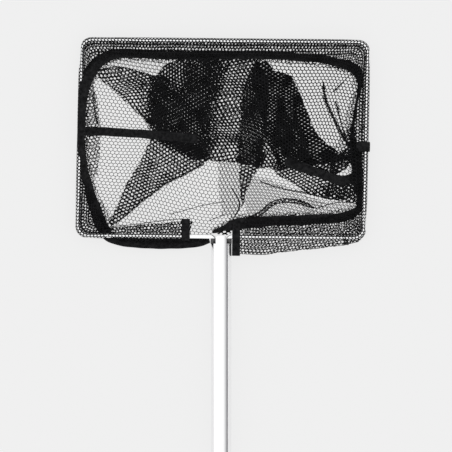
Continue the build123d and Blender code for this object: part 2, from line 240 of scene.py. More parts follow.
@dataclass(frozen=True)
class Knit:
    """One layer of knitted netting with six-sided holes, and how it lies on a surface."""

    pitch: float = 5.25
    width: float = 0.72
    thickness: float = 0.45
    angle: float = 0.0
    stretch: tuple[float, float] = (1.0, 0.93)
    shift: tuple[float, float] = (0.0, 0.0)
    bend: float = 1.2
    wave: float = 70.0
    seed: int = 1
    jitter: float = 0.0
    jitter_seed: int = 0
    shortest_end: float = 0.25
    sharpest: float = 0.4  # keeps a strand's corners from running far out
    probe: float = 0.05  # how far apart the surface is read to find its slope

    def graph(self, outline: np.ndarray) -> tuple[np.ndarray, np.ndarray]:
        """Lay the netting's strands over an outline and cut them at its edge.

        Args:
            outline: Closed outline on the flat netting.

        Returns:
            The flat places of the knots and ends, and the pairs of them that strands join.
        """
        centre = (outline.min(0) + outline.max(0)) / 2
        reach = float(np.linalg.norm(outline - centre, axis=1).max()) + 3 * self.pitch
        reach /= min(self.stretch)
        count = int(reach / (self.pitch * math.cos(math.radians(30)))) + 2
        span = np.arange(-count, count + 1)
        i, j = np.meshgrid(span, span, indexing="ij")
        first = np.array([self.pitch, 0.0])
        second = np.array([self.pitch / 2, self.pitch * math.sqrt(3) / 2])
        cells = i.reshape(-1, 1) * first + j.reshape(-1, 1) * second
        third = (first + second) / 3
        knots = np.vstack([cells + third, cells + 2 * third])
        number = np.arange(len(cells)).reshape(i.shape)
        here = len(cells)
        joins = [
            (number, number + here),
            (number[1:, :], number[:-1, :] + here),
            (number[:, 1:], number[:, :-1] + here),
        ]
        pairs = np.vstack([np.stack([a.ravel(), b.ravel()], axis=1) for a, b in joins])
        turn = math.radians(self.angle)
        spin = np.array([[math.cos(turn), math.sin(turn)], [-math.sin(turn), math.cos(turn)]])
        knots = ((knots + np.array(self.shift)) * np.array(self.stretch)) @ spin + centre
        knots = knots + ripple(knots, self.seed, self.bend, self.wave)
        if self.jitter:
            knots = knots + ripple(knots, self.jitter_seed, self.jitter, JITTER_WAVE)
        return self.cut(knots, pairs, outline)

    def cut(
        self, knots: np.ndarray, pairs: np.ndarray, outline: np.ndarray
    ) -> tuple[np.ndarray, np.ndarray]:
        """Keep what lies inside the outline and cut the strands that cross it.

        Args:
            knots: The flat places of the knots.
            pairs: The knots that strands join.
            outline: Closed outline to cut at.

        Returns:
            The kept places and pairs.
        """
        kept = is_inside(knots, outline)
        start_in, end_in = kept[pairs[:, 0]], kept[pairs[:, 1]]
        whole = pairs[start_in & end_in]
        crossing = pairs[start_in ^ end_in]
        swap = ~kept[crossing[:, 0]]
        crossing[swap] = crossing[swap][:, ::-1]
        origin, beyond = knots[crossing[:, 0]], knots[crossing[:, 1]]
        run = beyond - origin
        share = np.full(len(crossing), np.inf)
        for a, b in zip(outline, np.roll(outline, -1, axis=0)):
            side = b - a
            across = run[:, 0] * side[1] - run[:, 1] * side[0]
            across = np.where(np.abs(across) < 1e-9, np.nan, across)
            gap = a - origin
            t = (gap[:, 0] * side[1] - gap[:, 1] * side[0]) / across
            w = (gap[:, 0] * run[:, 1] - gap[:, 1] * run[:, 0]) / across
            valid = (t >= 0) & (t <= 1) & (w >= 0) & (w <= 1)
            share = np.where(valid, np.fmin(share, t), share)
        usable = np.isfinite(share) & (share * np.linalg.norm(run, axis=1) > self.shortest_end)
        ends = origin[usable] + share[usable, None] * run[usable]
        tails = np.stack([crossing[usable, 0], len(knots) + np.arange(len(ends))], axis=1)
        every = np.vstack([knots, ends])
        edges = np.vstack([whole, tails])
        used, compact = np.unique(edges, return_inverse=True)
        return every[used], compact.reshape(edges.shape)

    def strands(self, outline: np.ndarray, surface: Surface) -> Strands:
        """Make the netting's strands over an outline, carried onto a surface.

        Every strand has a ridge above and below and a hem line on each side, and the strands
        that meet at a knot share their points.

        Args:
            outline: Closed outline on the flat netting.
            surface: Gives the place in space of flat places.

        Returns:
            The strands.
        """
        knots, edges = self.graph(outline)
        source = np.concatenate([edges[:, 0], edges[:, 1]])
        target = np.concatenate([edges[:, 1], edges[:, 0]])
        half = len(edges)
        partner = np.concatenate([np.arange(half) + half, np.arange(half)])
        way = knots[target] - knots[source]
        heading = np.arctan2(way[:, 1], way[:, 0])
        order = np.lexsort((heading, source))
        _, starts, sizes = np.unique(source[order], return_index=True, return_counts=True)
        following = np.roll(order, -1)
        last = starts + sizes - 1
        following[last] = order[starts]
        after = np.empty_like(order)
        after[order] = following
        alone = after == np.arange(len(after))
        gap = np.mod(heading[after] - heading, math.tau)
        half_width = self.width / 2
        offset = half_width / np.maximum(np.sin(gap / 2), self.sharpest)
        middle = heading + gap / 2
        offset[alone] = half_width
        middle[alone] = heading[alone] + math.pi / 2
        outward = np.stack([np.cos(middle), np.sin(middle)], 1)
        left_places = knots[source] + offset[:, None] * outward
        lone = np.flatnonzero(alone)
        back = heading[lone] - math.pi / 2
        lone_places = knots[source[lone]] + half_width * np.stack([np.cos(back), np.sin(back)], 1)

        count = len(knots)
        top = np.arange(count)
        bottom = top + count
        left = 2 * count + np.arange(len(source))
        right = np.empty_like(left)
        right[after] = left
        right[lone] = 2 * count + len(source) + np.arange(len(lone))
        sides = np.vstack([left_places, lone_places])

        place = surface(knots)
        along = surface(knots + np.array([self.probe, 0.0])) - place
        across = surface(knots + np.array([0.0, self.probe])) - place
        normal = np.cross(along, across)
        normal /= np.maximum(np.linalg.norm(normal, axis=1, keepdims=True), 1e-9)
        rise = normal * self.thickness / 2
        points = np.vstack([place + rise, place - rise, surface(sides)])
        far = right[partner]
        upper = np.stack([top[source], top[target], far, left], axis=1)
        lower = np.stack([bottom[target], bottom[source], left, far], axis=1)
        tip = source[lone]
        caps = np.stack([top[tip], left[lone], bottom[tip], right[lone]], axis=1)
        flat = np.vstack([knots, knots, sides])
        return Strands(points, np.vstack([upper, lower, caps]), flat)

    def cloth(self, area: float) -> tuple[float, float]:
        """Work out the cloth behind some netting in place.

        Args:
            area: The area it covers in place, over all its layers.

        Returns:
            The cloth's flat area before it was gathered, and the yarn's share of that.
        """
        flat = area / math.prod(self.stretch)
        share = 2 * math.hypot(self.width, self.thickness) / self.pitch * sum(self.stretch) / 2
        return flat, share


# ---- Meshes -------------------------------------------------------------------------------


def new_object(
    name: str, points: np.ndarray, faces: np.ndarray | list, material: bpy.types.Material
) -> bpy.types.Object:
    """Make a smooth-shaded object from points in millimetres.

    Args:
        name: The object's name.
        points: Rows of millimetres, as HoopPlace.world takes them.
        faces: The points of each face.
        material: Its material.

    Returns:
        The object, linked into the scene.
    """
    mesh = bpy.data.meshes.new(name)
    rows = faces.tolist() if isinstance(faces, np.ndarray) else faces
    mesh.from_pydata(PLACE.world(points).tolist(), [], rows)
    mesh.materials.append(material)
    mesh.polygons.foreach_set("use_smooth", [True] * len(mesh.polygons))
    mesh.update()
    piece = bpy.data.objects.new(name, mesh)
    bpy.context.scene.collection.objects.link(piece)
    return piece


def strand_tube(core: np.ndarray, radius: float) -> tuple[np.ndarray, np.ndarray]:
    """Make a thin four-sided closed tube round a line.

    Args:
        core: The line's points.
        radius: The tube's radius.

    Returns:
        Its points and four-cornered faces.
    """
    sides = 4
    way = np.gradient(core, axis=0)
    way /= np.maximum(np.linalg.norm(way, axis=1, keepdims=True), 1e-9)
    side = np.cross(way, np.array([0.0, 0.0, 1.0]))
    side /= np.maximum(np.linalg.norm(side, axis=1, keepdims=True), 1e-9)
    up = np.cross(side, way)
    turns = np.arange(sides) * math.tau / sides
    ring = np.cos(turns)[None, :, None] * side[:, None] + np.sin(turns)[None, :, None] * up[:, None]
    points = (core[:, None] + radius * ring).reshape(-1, 3)
    start = (np.arange(len(core) - 1) * sides)[:, None]
    here = start + np.arange(sides)
    beside = start + (np.arange(sides) + 1) % sides
    skin = np.stack([here, here + sides, beside + sides, beside], axis=2).reshape(-1, 4)
    first_cap = np.arange(sides)
    last_cap = (len(core) - 1) * sides + first_cap[::-1]
    return points, np.vstack([skin, first_cap, last_cap])


def join_parts(points: list[np.ndarray], faces: list[np.ndarray]) -> tuple[np.ndarray, np.ndarray]:
    """Join small meshes into one."""
    offsets = np.cumsum([0] + [len(part) for part in points[:-1]])
    return np.vstack(points), np.vstack([skin + offset for skin, offset in zip(faces, offsets)])


def set_map(piece: bpy.types.Object, name: str, places: np.ndarray) -> None:
    """Give a piece a flat map with one place for each of its points.

    Args:
        piece: The piece.
        name: The map's name.
        places: Rows of two values, one for each point of the mesh.
    """
    layer = piece.data.uv_layers.new(name=name)
    corners = np.empty(len(piece.data.loops), np.int32)
    piece.data.loops.foreach_get("vertex_index", corners)
    layer.data.foreach_set("uv", places[corners].astype(np.float32).ravel())


def net_object(name: str, net: Strands, material: bpy.types.Material) -> bpy.types.Object:
    """Make netting into an object whose flat map is the netting laid out flat."""
    piece = new_object(name, net.points, net.faces, material)
    low, high = net.flat.min(0), net.flat.max(0)
    set_map(piece, "OFBake", (net.flat - low) / max(float((high - low).max()), 1.0))
    return piece


def put(piece: bpy.types.Object, node: str) -> None:
    """Fix a piece to the net's body in the place of one of the frame's pieces.

    Args:
        piece: The piece.
        node: The frame's piece that it stands for.
    """
    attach(piece, BODY)
    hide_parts(node)


@dataclass
class Pile:
    """Layers of netting that become one piece."""

    nets: list[Strands] = field(default_factory=list)
    cloths: list[tuple[float, float]] = field(default_factory=list)

    def lay(self, knit: Knit, outline: np.ndarray, surface: Surface) -> None:
        """Lay one more layer.

        Args:
            knit: The layer's netting.
            outline: Its closed outline on the flat netting.
            surface: What it lies on.
        """
        self.nets.append(knit.strands(outline, surface))
        self.cloths.append(knit.cloth(outline_area(outline)))

    def make(self, name: str, yarn: bpy.types.Material, held: str, node: str) -> None:
        """Args:
            name: The piece's name.
            yarn: Its material.
            held: How the cloth is held; not used.
            node: The frame's piece that it stands for.
        """
        net = Strands.joined(self.nets)
        piece = net_object(name, net, yarn)
        flat = sum(area for area, _ in self.cloths)
        share = sum(area * part for area, part in self.cloths) / flat
        put(piece, node)
        log.info("%s: %d faces", name, len(net.faces))


# ---- Finishes -----------------------------------------------------------------------------


class Graph:
    """A node tree with short ways to add and join nodes."""

    def __init__(self, tree: bpy.types.NodeTree) -> None:
        """Wrap a node tree."""
        self.tree = tree

    def add(self, kind: str, settings: dict | None = None, **values: object) -> bpy.types.Node:
        """Add a node.

        Args:
            kind: The node's type.
            settings: Properties to set on the node.
            values: Input sockets to set or join, named with _ for a space.

        Returns:
            The node.
        """
        node = self.tree.nodes.new(kind)
        for name, value in (settings or {}).items():
            setattr(node, name, value)
        self.set(node, **values)
        return node

    def set(self, node: bpy.types.Node, **values: object) -> None:
        """Set or join a node's input sockets, named with _ for a space."""
        for name, value in values.items():
            self.feed(node.inputs[name.replace("_", " ")], value)

    def effect(self, group: bpy.types.NodeTree, vector: object, **values: object) -> bpy.types.Node:
        """Place a shared effect with its own values."""
        return self.add("ShaderNodeGroup", {"node_tree": group}, Vector=vector, **values)

    def bump(self, shader: bpy.types.Node, height: object, strength: float, relief: float) -> None:
        """Give a shader a relief from a height."""
        bump = self.add("ShaderNodeBump", Strength=strength, Distance=relief, Height=height)
        self.set(shader, Normal=bump.outputs["Normal"])

    def feed(self, socket: bpy.types.NodeSocket, value: object) -> None:
        """Join an output to a socket, or set the socket's own value."""
        if isinstance(value, bpy.types.NodeSocket):
            self.tree.links.new(value, socket)
        else:
            socket.default_value = value

    def math(self, operation: str, first: object, second: object = 0.0) -> bpy.types.NodeSocket:
        """Add a Math node and give its result."""
        node = self.tree.nodes.new("ShaderNodeMath")
        node.operation = operation
        self.feed(node.inputs[0], first)
        self.feed(node.inputs[1], second)
        return node.outputs[0]

    def ramp(self, value: object, low: tuple, high: tuple) -> bpy.types.NodeSocket:
        """Blend two colours by a value."""
        node = self.tree.nodes.new("ShaderNodeMix")
        node.data_type = "RGBA"
        self.feed(node.inputs[0], value)
        self.feed(node.inputs[6], low)
        self.feed(node.inputs[7], high)
        return node.outputs[2]


class SharedEffects:
    """The shader node groups that several materials use, each made once."""

    def __init__(self) -> None:
        """Make the groups."""
        self.fibre = self.make_fibre()
        self.weave = self.make_weave()
        self.drawn = self.make_drawn()
        self.mould = self.make_mould()

    @staticmethod
    def new_group(
        name: str, inputs: dict[str, tuple], outputs: dict[str, str]
    ) -> bpy.types.NodeTree:
        """Make an empty group with its sockets.

        Args:
            name: The group's name.
            inputs: Socket name to its type and default value, or None.
            outputs: Socket name to its type.

        Returns:
            The group.
        """
        group = bpy.data.node_groups.new(name, "ShaderNodeTree")
        for label, (kind, value) in inputs.items():
            socket = group.interface.new_socket(name=label, in_out="INPUT", socket_type=kind)
            if value is not None:
                socket.default_value = value
        for label, kind in outputs.items():
            group.interface.new_socket(name=label, in_out="OUTPUT", socket_type=kind)
        return group

    def make_fibre(self) -> bpy.types.NodeTree:
        """Uneven dye and dust on yarn.

        Returns:
            The node group.
        """
        group = self.new_group(
            "yarn_tint",
            {
                "Vector": ("NodeSocketVector", None),
                "Scale": ("NodeSocketFloat", 60.0),
                "Dark": ("NodeSocketColor", (0.004, 0.004, 0.005, 1.0)),
                "Pale": ("NodeSocketColor", (0.02, 0.02, 0.022, 1.0)),
            },
            {"Color": "NodeSocketColor", "Value": "NodeSocketFloat"},
        )
        graph = Graph(group)
        given = graph.add("NodeGroupInput")
        cloud = graph.add(
            "ShaderNodeTexNoise",
            Vector=given.outputs["Vector"],
            Scale=given.outputs["Scale"],
            Detail=4.0,
        )
        spread = graph.add(
            "ShaderNodeMapRange", Value=cloud.outputs["Fac"], From_Min=0.35, From_Max=0.68
        )
        blend = graph.ramp(spread.outputs["Result"], given.outputs["Dark"], given.outputs["Pale"])
        graph.add("NodeGroupOutput", Color=blend, Value=spread.outputs["Result"])
        return group

    def make_weave(self) -> bpy.types.NodeTree:
        """Ribs across a woven tape, with the warp yarns that cross them.

        Returns:
            The node group.
        """
        group = self.new_group(
            "tape_weave",
            {
                "Vector": ("NodeSocketVector", None),
                "Rib Pitch": ("NodeSocketFloat", 1.1),
                "Yarn Pitch": ("NodeSocketFloat", 0.8),
            },
            {"Height": "NodeSocketFloat", "Mask": "NodeSocketFloat"},
        )
        graph = Graph(group)
        given = graph.add("NodeGroupInput")
        apart = graph.add("ShaderNodeSeparateXYZ", Vector=given.outputs["Vector"])
        ribs = graph.math("DIVIDE", apart.outputs["X"], given.outputs["Rib Pitch"])
        yarns = graph.math("DIVIDE", apart.outputs["Y"], given.outputs["Yarn Pitch"])
        rib = graph.math("ABSOLUTE", graph.math("SINE", graph.math("MULTIPLY", ribs, math.pi)))
        offset = graph.math("MULTIPLY", graph.math("FLOOR", ribs), 0.5)
        warp = graph.math("ADD", yarns, offset)
        yarn = graph.math("ABSOLUTE", graph.math("SINE", graph.math("MULTIPLY", warp, math.pi)))
        height = graph.math("MULTIPLY", rib, graph.math("MULTIPLY_ADD", yarn, 0.45))
        graph.add("NodeGroupOutput", Height=height, Mask=rib)
        return group

    def make_drawn(self) -> bpy.types.NodeTree:
        """Fine lines that drawing leaves along aluminium.

        Returns:
            The node group.
        """
        group = self.new_group(
            "drawn_lines",
            {
                "Vector": ("NodeSocketVector", None),
                "Across": ("NodeSocketFloat", 1500.0),
                "Along": ("NodeSocketFloat", 12.0),
            },
            {"Value": "NodeSocketFloat"},
        )
        graph = Graph(group)
        given = graph.add("NodeGroupInput")
        scale = graph.add(
            "ShaderNodeCombineXYZ",
            X=given.outputs["Across"],
            Y=given.outputs["Along"],
            Z=given.outputs["Across"],
        )
        place = graph.add("ShaderNodeVectorMath", {"operation": "MULTIPLY"})
        graph.feed(place.inputs[0], given.outputs["Vector"])
        graph.feed(place.inputs[1], scale.outputs["Vector"])
        lines = graph.add(
            "ShaderNodeTexNoise",
            Vector=place.outputs["Vector"],
            Scale=1.0,
            Detail=3.0,
            Roughness=0.6,
        )
        graph.add("NodeGroupOutput", Value=lines.outputs["Fac"])
        return group

    def make_mould(self) -> bpy.types.NodeTree:
        """Spark-eroded grain of moulded plastic and rubber, with handling marks.

        Returns:
            The node group.
        """
        group = self.new_group(
            "mould_grain",
            {
                "Vector": ("NodeSocketVector", None),
                "Scale": ("NodeSocketFloat", 900.0),
                "Marks": ("NodeSocketFloat", 45.0),
            },
            {"Height": "NodeSocketFloat", "Value": "NodeSocketFloat"},
        )
        graph = Graph(group)
        given = graph.add("NodeGroupInput")
        grain = graph.add(
            "ShaderNodeTexVoronoi", Vector=given.outputs["Vector"], Scale=given.outputs["Scale"]
        )
        marks = graph.add(
            "ShaderNodeTexNoise",
            Vector=given.outputs["Vector"],
            Scale=given.outputs["Marks"],
            Detail=5.0,
        )
        graph.add("NodeGroupOutput", Height=grain.outputs["Distance"], Value=marks.outputs["Fac"])
        return group


def new_material(name: str) -> tuple[bpy.types.Material, Graph, bpy.types.Node]:
    """Make a material with a Principled shader.

    Args:
        name: The material's name.

    Returns:
        The material, its graph and its shader node.
    """
    material = bpy.data.materials.new(name)
    material.use_nodes = True
    graph = Graph(material.node_tree)
    return material, graph, material.node_tree.nodes["Principled BSDF"]


def uneven_skin(
    graph: Graph, shader: bpy.types.Node, value: object, colours: tuple, rough: tuple
) -> None:
    """Vary a shader's colour and roughness by a value that changes over the surface.

    Args:
        graph: The material's graph.
        shader: Its shader node.
        value: The value that changes.
        colours: The colours at its low and high ends.
        rough: The roughness at its low and high ends.
    """
    spread = graph.add(
        "ShaderNodeMapRange",
        Value=value,
        From_Min=0.3,
        From_Max=0.7,
        To_Min=rough[0],
        To_Max=rough[1],
    )
    blend = graph.ramp(value, *colours)
    graph.set(shader, Base_Color=blend, Roughness=spread.outputs["Result"])


def scaled(colour: tuple, gain: float) -> tuple:
    """A colour made lighter or darker, with its alpha kept."""
    return (*(min(1.0, gain * value) for value in colour[:3]), colour[3])


@dataclass(frozen=True)
class YarnFinish:
    """Black polyester yarn of the netting and the sewing thread."""

    name: str
    dark: tuple = (0.0025, 0.0025, 0.003, 1.0)
    pale: tuple = (0.010, 0.010, 0.011, 1.0)
    scale: float = 90.0
    specular: float = 0.12
    rough: tuple = (0.62, 0.8)

    def make(self, effects: SharedEffects) -> bpy.types.Material:
        """Make the material.

        Args:
            effects: The node groups that the finishes share.

        Returns:
            The material.
        """
        material, graph, shader = new_material(self.name)
        place = graph.add("ShaderNodeTexCoord").outputs["Object"]
        tint = graph.effect(
            effects.fibre, place, Scale=self.scale, Dark=self.dark, Pale=self.pale
        )
        spread = graph.add(
            "ShaderNodeMapRange",
            Value=tint.outputs["Value"],
            To_Min=self.rough[0],
            To_Max=self.rough[1],
        )
        graph.set(
            shader,
            Base_Color=tint.outputs["Color"],
            Roughness=spread.outputs["Result"],
            Specular_IOR_Level=self.specular,
        )
        return material


@dataclass(frozen=True)
class TapeFinish:
    """Black woven binding tape."""

    name: str = "binding_tape_woven"
    dark: tuple = (0.003, 0.003, 0.0035, 1.0)
    pale: tuple = (0.022, 0.022, 0.023, 1.0)
    scale: float = 230.0
    rib: float = 1.1
    yarn: float = 0.85
    relief: float = 0.00018
    rough: float = 0.85
    specular: float = 0.12

    def make(self, effects: SharedEffects) -> bpy.types.Material:
        """Make the material.

        Args:
            effects: The node groups that the finishes share.

        Returns:
            The material.
        """
        material, graph, shader = new_material(self.name)
        flat = graph.add("ShaderNodeUVMap", {"uv_map": "Weave"}).outputs["UV"]
        weave = graph.effect(effects.weave, flat, Rib_Pitch=self.rib, Yarn_Pitch=self.yarn)
        place = graph.add("ShaderNodeTexCoord").outputs["Object"]
        tint = graph.effect(
            effects.fibre, place, Scale=self.scale, Dark=self.dark, Pale=self.pale
        )
        # Painted shade: the grooves between the ribs take the dark colour, and the crests take the
        # yarn's tint.
        groove_shaded_colour = graph.ramp(weave.outputs["Mask"], self.dark, tint.outputs["Color"])
        graph.set(
            shader, Base_Color=groove_shaded_colour, Roughness=self.rough, Specular_IOR_Level=self.specular
        )
        graph.bump(shader, weave.outputs["Height"], 0.9, self.relief)
        return material


@dataclass(frozen=True)
class MetalFinish:
    """Drawn aluminium or steel, from bright rod to satin tube."""

    name: str
    colour: tuple
    rough: tuple
    across: float = 1500.0
    along: float = 12.0
    shade: float = 0.94  # how dark the drawn lines are
    relief: float = 0.00002

    def make(self, effects: SharedEffects) -> bpy.types.Material:
        """Make the material.

        Args:
            effects: The node groups that the finishes share.

        Returns:
            The material.
        """
        material, graph, shader = new_material(self.name)
        place = graph.add("ShaderNodeTexCoord").outputs["Object"]
        lines = graph.effect(effects.drawn, place, Across=self.across, Along=self.along)
        value = lines.outputs["Value"]
        colours = (scaled(self.colour, self.shade), self.colour)
        uneven_skin(graph, shader, value, colours, self.rough)
        graph.set(shader, Metallic=1.0)
        graph.bump(shader, value, 0.3, self.relief)
        return material


@dataclass(frozen=True)
class MouldedFinish:
    """Moulded nylon or rubber."""

    name: str
    colour: tuple
    rough: tuple
    grain: float = 900.0
    wear: float = 1.7  # how pale the handled places are
    relief: float = 0.00006

    def make(self, effects: SharedEffects) -> bpy.types.Material:
        """Make the material.

        Args:
            effects: The node groups that the finishes share.

        Returns:
            The material.
        """
        material, graph, shader = new_material(self.name)
        place = graph.add("ShaderNodeTexCoord").outputs["Object"]
        grain = graph.effect(effects.mould, place, Scale=self.grain)
        colours = (self.colour, scaled(self.colour, self.wear))
        uneven_skin(graph, shader, grain.outputs["Value"], colours, self.rough)
        graph.bump(shader, grain.outputs["Height"], 0.5, self.relief)
        return material


def opaque(red: float, green: float, blue: float) -> tuple:
    """An opaque colour."""
    return (red, green, blue, 1.0)


class Finish(Enum):
    """The finishes of this net's pieces."""

    NETTING = YarnFinish("netting_yarn")
    THREAD = YarnFinish(
        "sewing_thread", opaque(0.01, 0.01, 0.011), opaque(0.03, 0.03, 0.032), 300.0, 0.25
    )
    TAPE = TapeFinish()
    HOOP = MetalFinish("hoop_bright_rod", opaque(0.93, 0.935, 0.94), (0.10, 0.2), 900.0, 900.0)
    POLE = MetalFinish("pole_satin_tube", opaque(0.95, 0.95, 0.955), (0.14, 0.24))
    RIVET = MetalFinish("rivet_aluminium", opaque(0.82, 0.82, 0.82), (0.25, 0.4), 400.0, 400.0)
    PIN = MetalFinish("pin_steel", opaque(0.55, 0.55, 0.56), (0.2, 0.35), 400.0, 400.0)
    LOCK = MouldedFinish("lock_nylon", opaque(0.020, 0.020, 0.022), (0.38, 0.55))
    COLLAR = MouldedFinish(
        "collar_nylon", opaque(0.045, 0.046, 0.05), (0.4, 0.6), grain=1300.0, relief=0.0001
    )
    PLUG = MouldedFinish("plug_nylon", opaque(0.05, 0.05, 0.05), (0.45, 0.6))
    GRIP = MouldedFinish(
        "grip_rubber", opaque(0.016, 0.016, 0.017), (0.6, 0.85), grain=1100.0, relief=0.00012
    )


# ---- The bag's lie ------------------------------------------------------------------------

# Every outline and route below is in millimetres: right of the pole's axis, and above the
# hoop's centre. A tape's route adds its height above the ground and its width there.

MOUTH_ROUTE = (
    (-16, -138, 12.0, 9.0),
    (-29, -141.5, 11.5, 12.0),
    (-60, -143.4, 11.0, 14.2),
    (-95, -143.2, 11.0, 14.2),
    (-125, -142, 11.0, 12.6),
    (-144, -139, 12.0, 12.0),
    (-155, -133, 13.0, 15.0),
    (-162, -122, 14.0, 16.5),
    (-168.5, -107, 15.0, 17.0),
    (-175, -88, 16.0, 15.5),
    (-181, -68, 16.8, 12.5),
    (-186, -45, 18.5, 11.0),
    (-190, -25, 21.8, 10.5),
    (-191, 0, 23.4, 10.5),
    (-190.5, 32, 23.4, 11.0),
    (-189, 54, 23.2, 12.5),
    (-186.5, 72, 22.0, 15.5),
    (-181, 89, 18.5, 18.0),
    (-172.5, 102, 16.8, 17.0),
    (-160, 111, 16.2, 15.0),
    (-146, 116.5, 16.0, 14.0),
    (-125, 117.5, 16.0, 12.5),
    (-84, 114.5, 16.0, 12.0),
    (-43, 114, 16.0, 12.0),
    (1, 115, 16.0, 12.0),
    (54, 115, 16.0, 11.5),
    (113, 112, 16.0, 11.5),
    (138, 109, 16.0, 11.5),
    (160, 105, 16.0, 12.0),
    (175.5, 99.5, 16.0, 13.5),
    (187.5, 91.5, 15.0, 15.0),
    (192, 79, 14.0, 9.0),
    (187.5, 62, 14.5, 4.0),
    (183, 38, 15.0, 3.5),
    (179.5, 14, 15.0, 4.5),
    (180, -6, 15.5, 10.0),
    (184, -20, 16.0, 15.0),
    (186, -40, 16.0, 15.0),
    (188, -62, 16.0, 13.0),
    (190.5, -80, 15.5, 10.0),
    (190, -94, 15.5, 9.0),
    (181, -102, 16.0, 12.0),
    (166, -107, 16.0, 13.0),
    (145, -109.5, 16.0, 13.5),
    (113, -111, 16.0, 14.0),
    (84, -111.5, 16.0, 13.5),
    (60, -113, 16.0, 14.0),
    (40, -114.5, 16.5, 16.0),
    (25, -115.5, 17.5, 16.0),
    (15, -118, 18.5, 15.5),
    (8, -120.5, 19.5, 10.5),
    (1, -123, 20.5, 6.0),
    (-5, -125.5, 21.0, 7.0),
    (-12, -128, 21.2, 3.0),
)
LEFT_SEAM_ROUTE = (
    (-187, 11, 21.5, 12.5),
    (-177, 10.8, 12.0, 12.5),
    (-163, 10.5, 5.5, 12.0),
    (-142, 9.5, 4.0, 12.0),
    (-118, 8, 4.5, 11.5),
    (-95, 6, 6.5, 12.5),
    (-63, 3, 8.5, 13.0),
    (-32, 0, 8.5, 13.0),
)
RIGHT_SEAM_ROUTE = (
    (88, -29, 9.0, 13.0),
    (108, -37, 9.0, 15.0),
    (122, -43, 9.0, 13.0),
    (136, -47, 9.0, 12.0),
    (151, -53, 9.5, 12.5),
    (165, -57, 11.0, 14.0),
    (178, -55, 14.0, 14.0),
    (187, -48, 15.5, 12.0),
)


@dataclass(frozen=True)
class Crease:
    """A sharp fold line in the netting: where it runs and how it stands."""

    points: tuple
    rise: float = 2.0
    strands: int = 3
    spread: float = 0.35
    apart: float = 0.0


CREASES = {
    "upper_right_long": Crease(
        ((140, 78), (141, 62), (145, 48), (153, 31), (161, 14), (168, -1), (175, -10)),
        rise=3.0, strands=9, spread=0.8, apart=0.4,
    ),
    "upper_right_short": Crease(
        ((174, 86), (165, 76), (154, 65)),
        rise=2.0, strands=7, spread=0.55,
    ),
    "upper_right_inner": Crease(
        ((156.5, 52), (160, 40), (163, 27), (168, 8), (173, -10)),
        rise=2.5, strands=7, spread=0.6,
    ),
    "low_right_upper": Crease(
        (
            (54, -58), (67, -63), (83, -67.5), (100, -71), (117, -73.5), (134, -79), (157, -83),
            (179, -80),
        ),
        rise=2.5, strands=5, spread=0.5,
    ),
    "low_right_wave": Crease(
        (
            (36, -108.5), (46, -106), (55, -101), (64, -92.5), (74, -86), (86, -84),
            (100, -84.5), (111, -87), (120, -91.5), (127, -94.5),
        ),
        rise=3.0, strands=8, spread=0.5, apart=2.6,
    ),
    "low_right_wave_end": Crease(
        ((124, -93.5), (131, -94.5), (139, -92.5), (149, -88.5), (164, -86), (180, -87)),
        rise=2.0, strands=3, spread=0.3,
    ),
    "low_centre_hook": Crease(
        ((15, -68), (20, -75), (24.5, -83), (25.5, -91), (23.5, -98), (19, -105)),
        rise=1.5, strands=9, spread=0.8,
    ),
    "spike_tip": Crease(
        ((28, -60), (28.6, -74), (29.2, -92)),
        rise=1.5, strands=4, spread=0.45,
    ),
    "low_left_flap": Crease(
        ((-150, -119.5), (-120, -117.2), (-93, -113.2), (-73, -110.6), (-53, -109.2)),
        rise=1.5, strands=3, spread=0.35,
    ),
    "low_centre_long": Crease(
        ((-71, -103), (-48, -97), (-24, -90), (4, -86)),
        rise=1.2, strands=2, spread=0.5,
    ),
    "low_centre_short": Crease(
        ((-16, -112), (-6, -107), (5, -104)),
        rise=1.2, strands=2, spread=0.4,
    ),
    "left_edge": Crease(
        ((-175, 66), (-174.5, 52), (-172.5, 36), (-169, 20)),
        rise=1.5, strands=3, spread=0.35,
    ),
    "left_wing_top": Crease(
        (
            (-177, 88), (-168, 93), (-157, 97), (-146, 98.5), (-134, 98), (-122, 95), (-106, 90),
            (-90, 86),
        ),
        rise=2.5, strands=3, spread=0.4,
    ),
    "low_wing_right": Crease(
        (
            (-146, -116), (-134, -107), (-119, -94), (-106, -83), (-89, -70), (-71, -58),
            (-51, -49), (-34, -39), (-20, -28),
        ),
        rise=3.0, strands=3, spread=0.4,
    ),
}


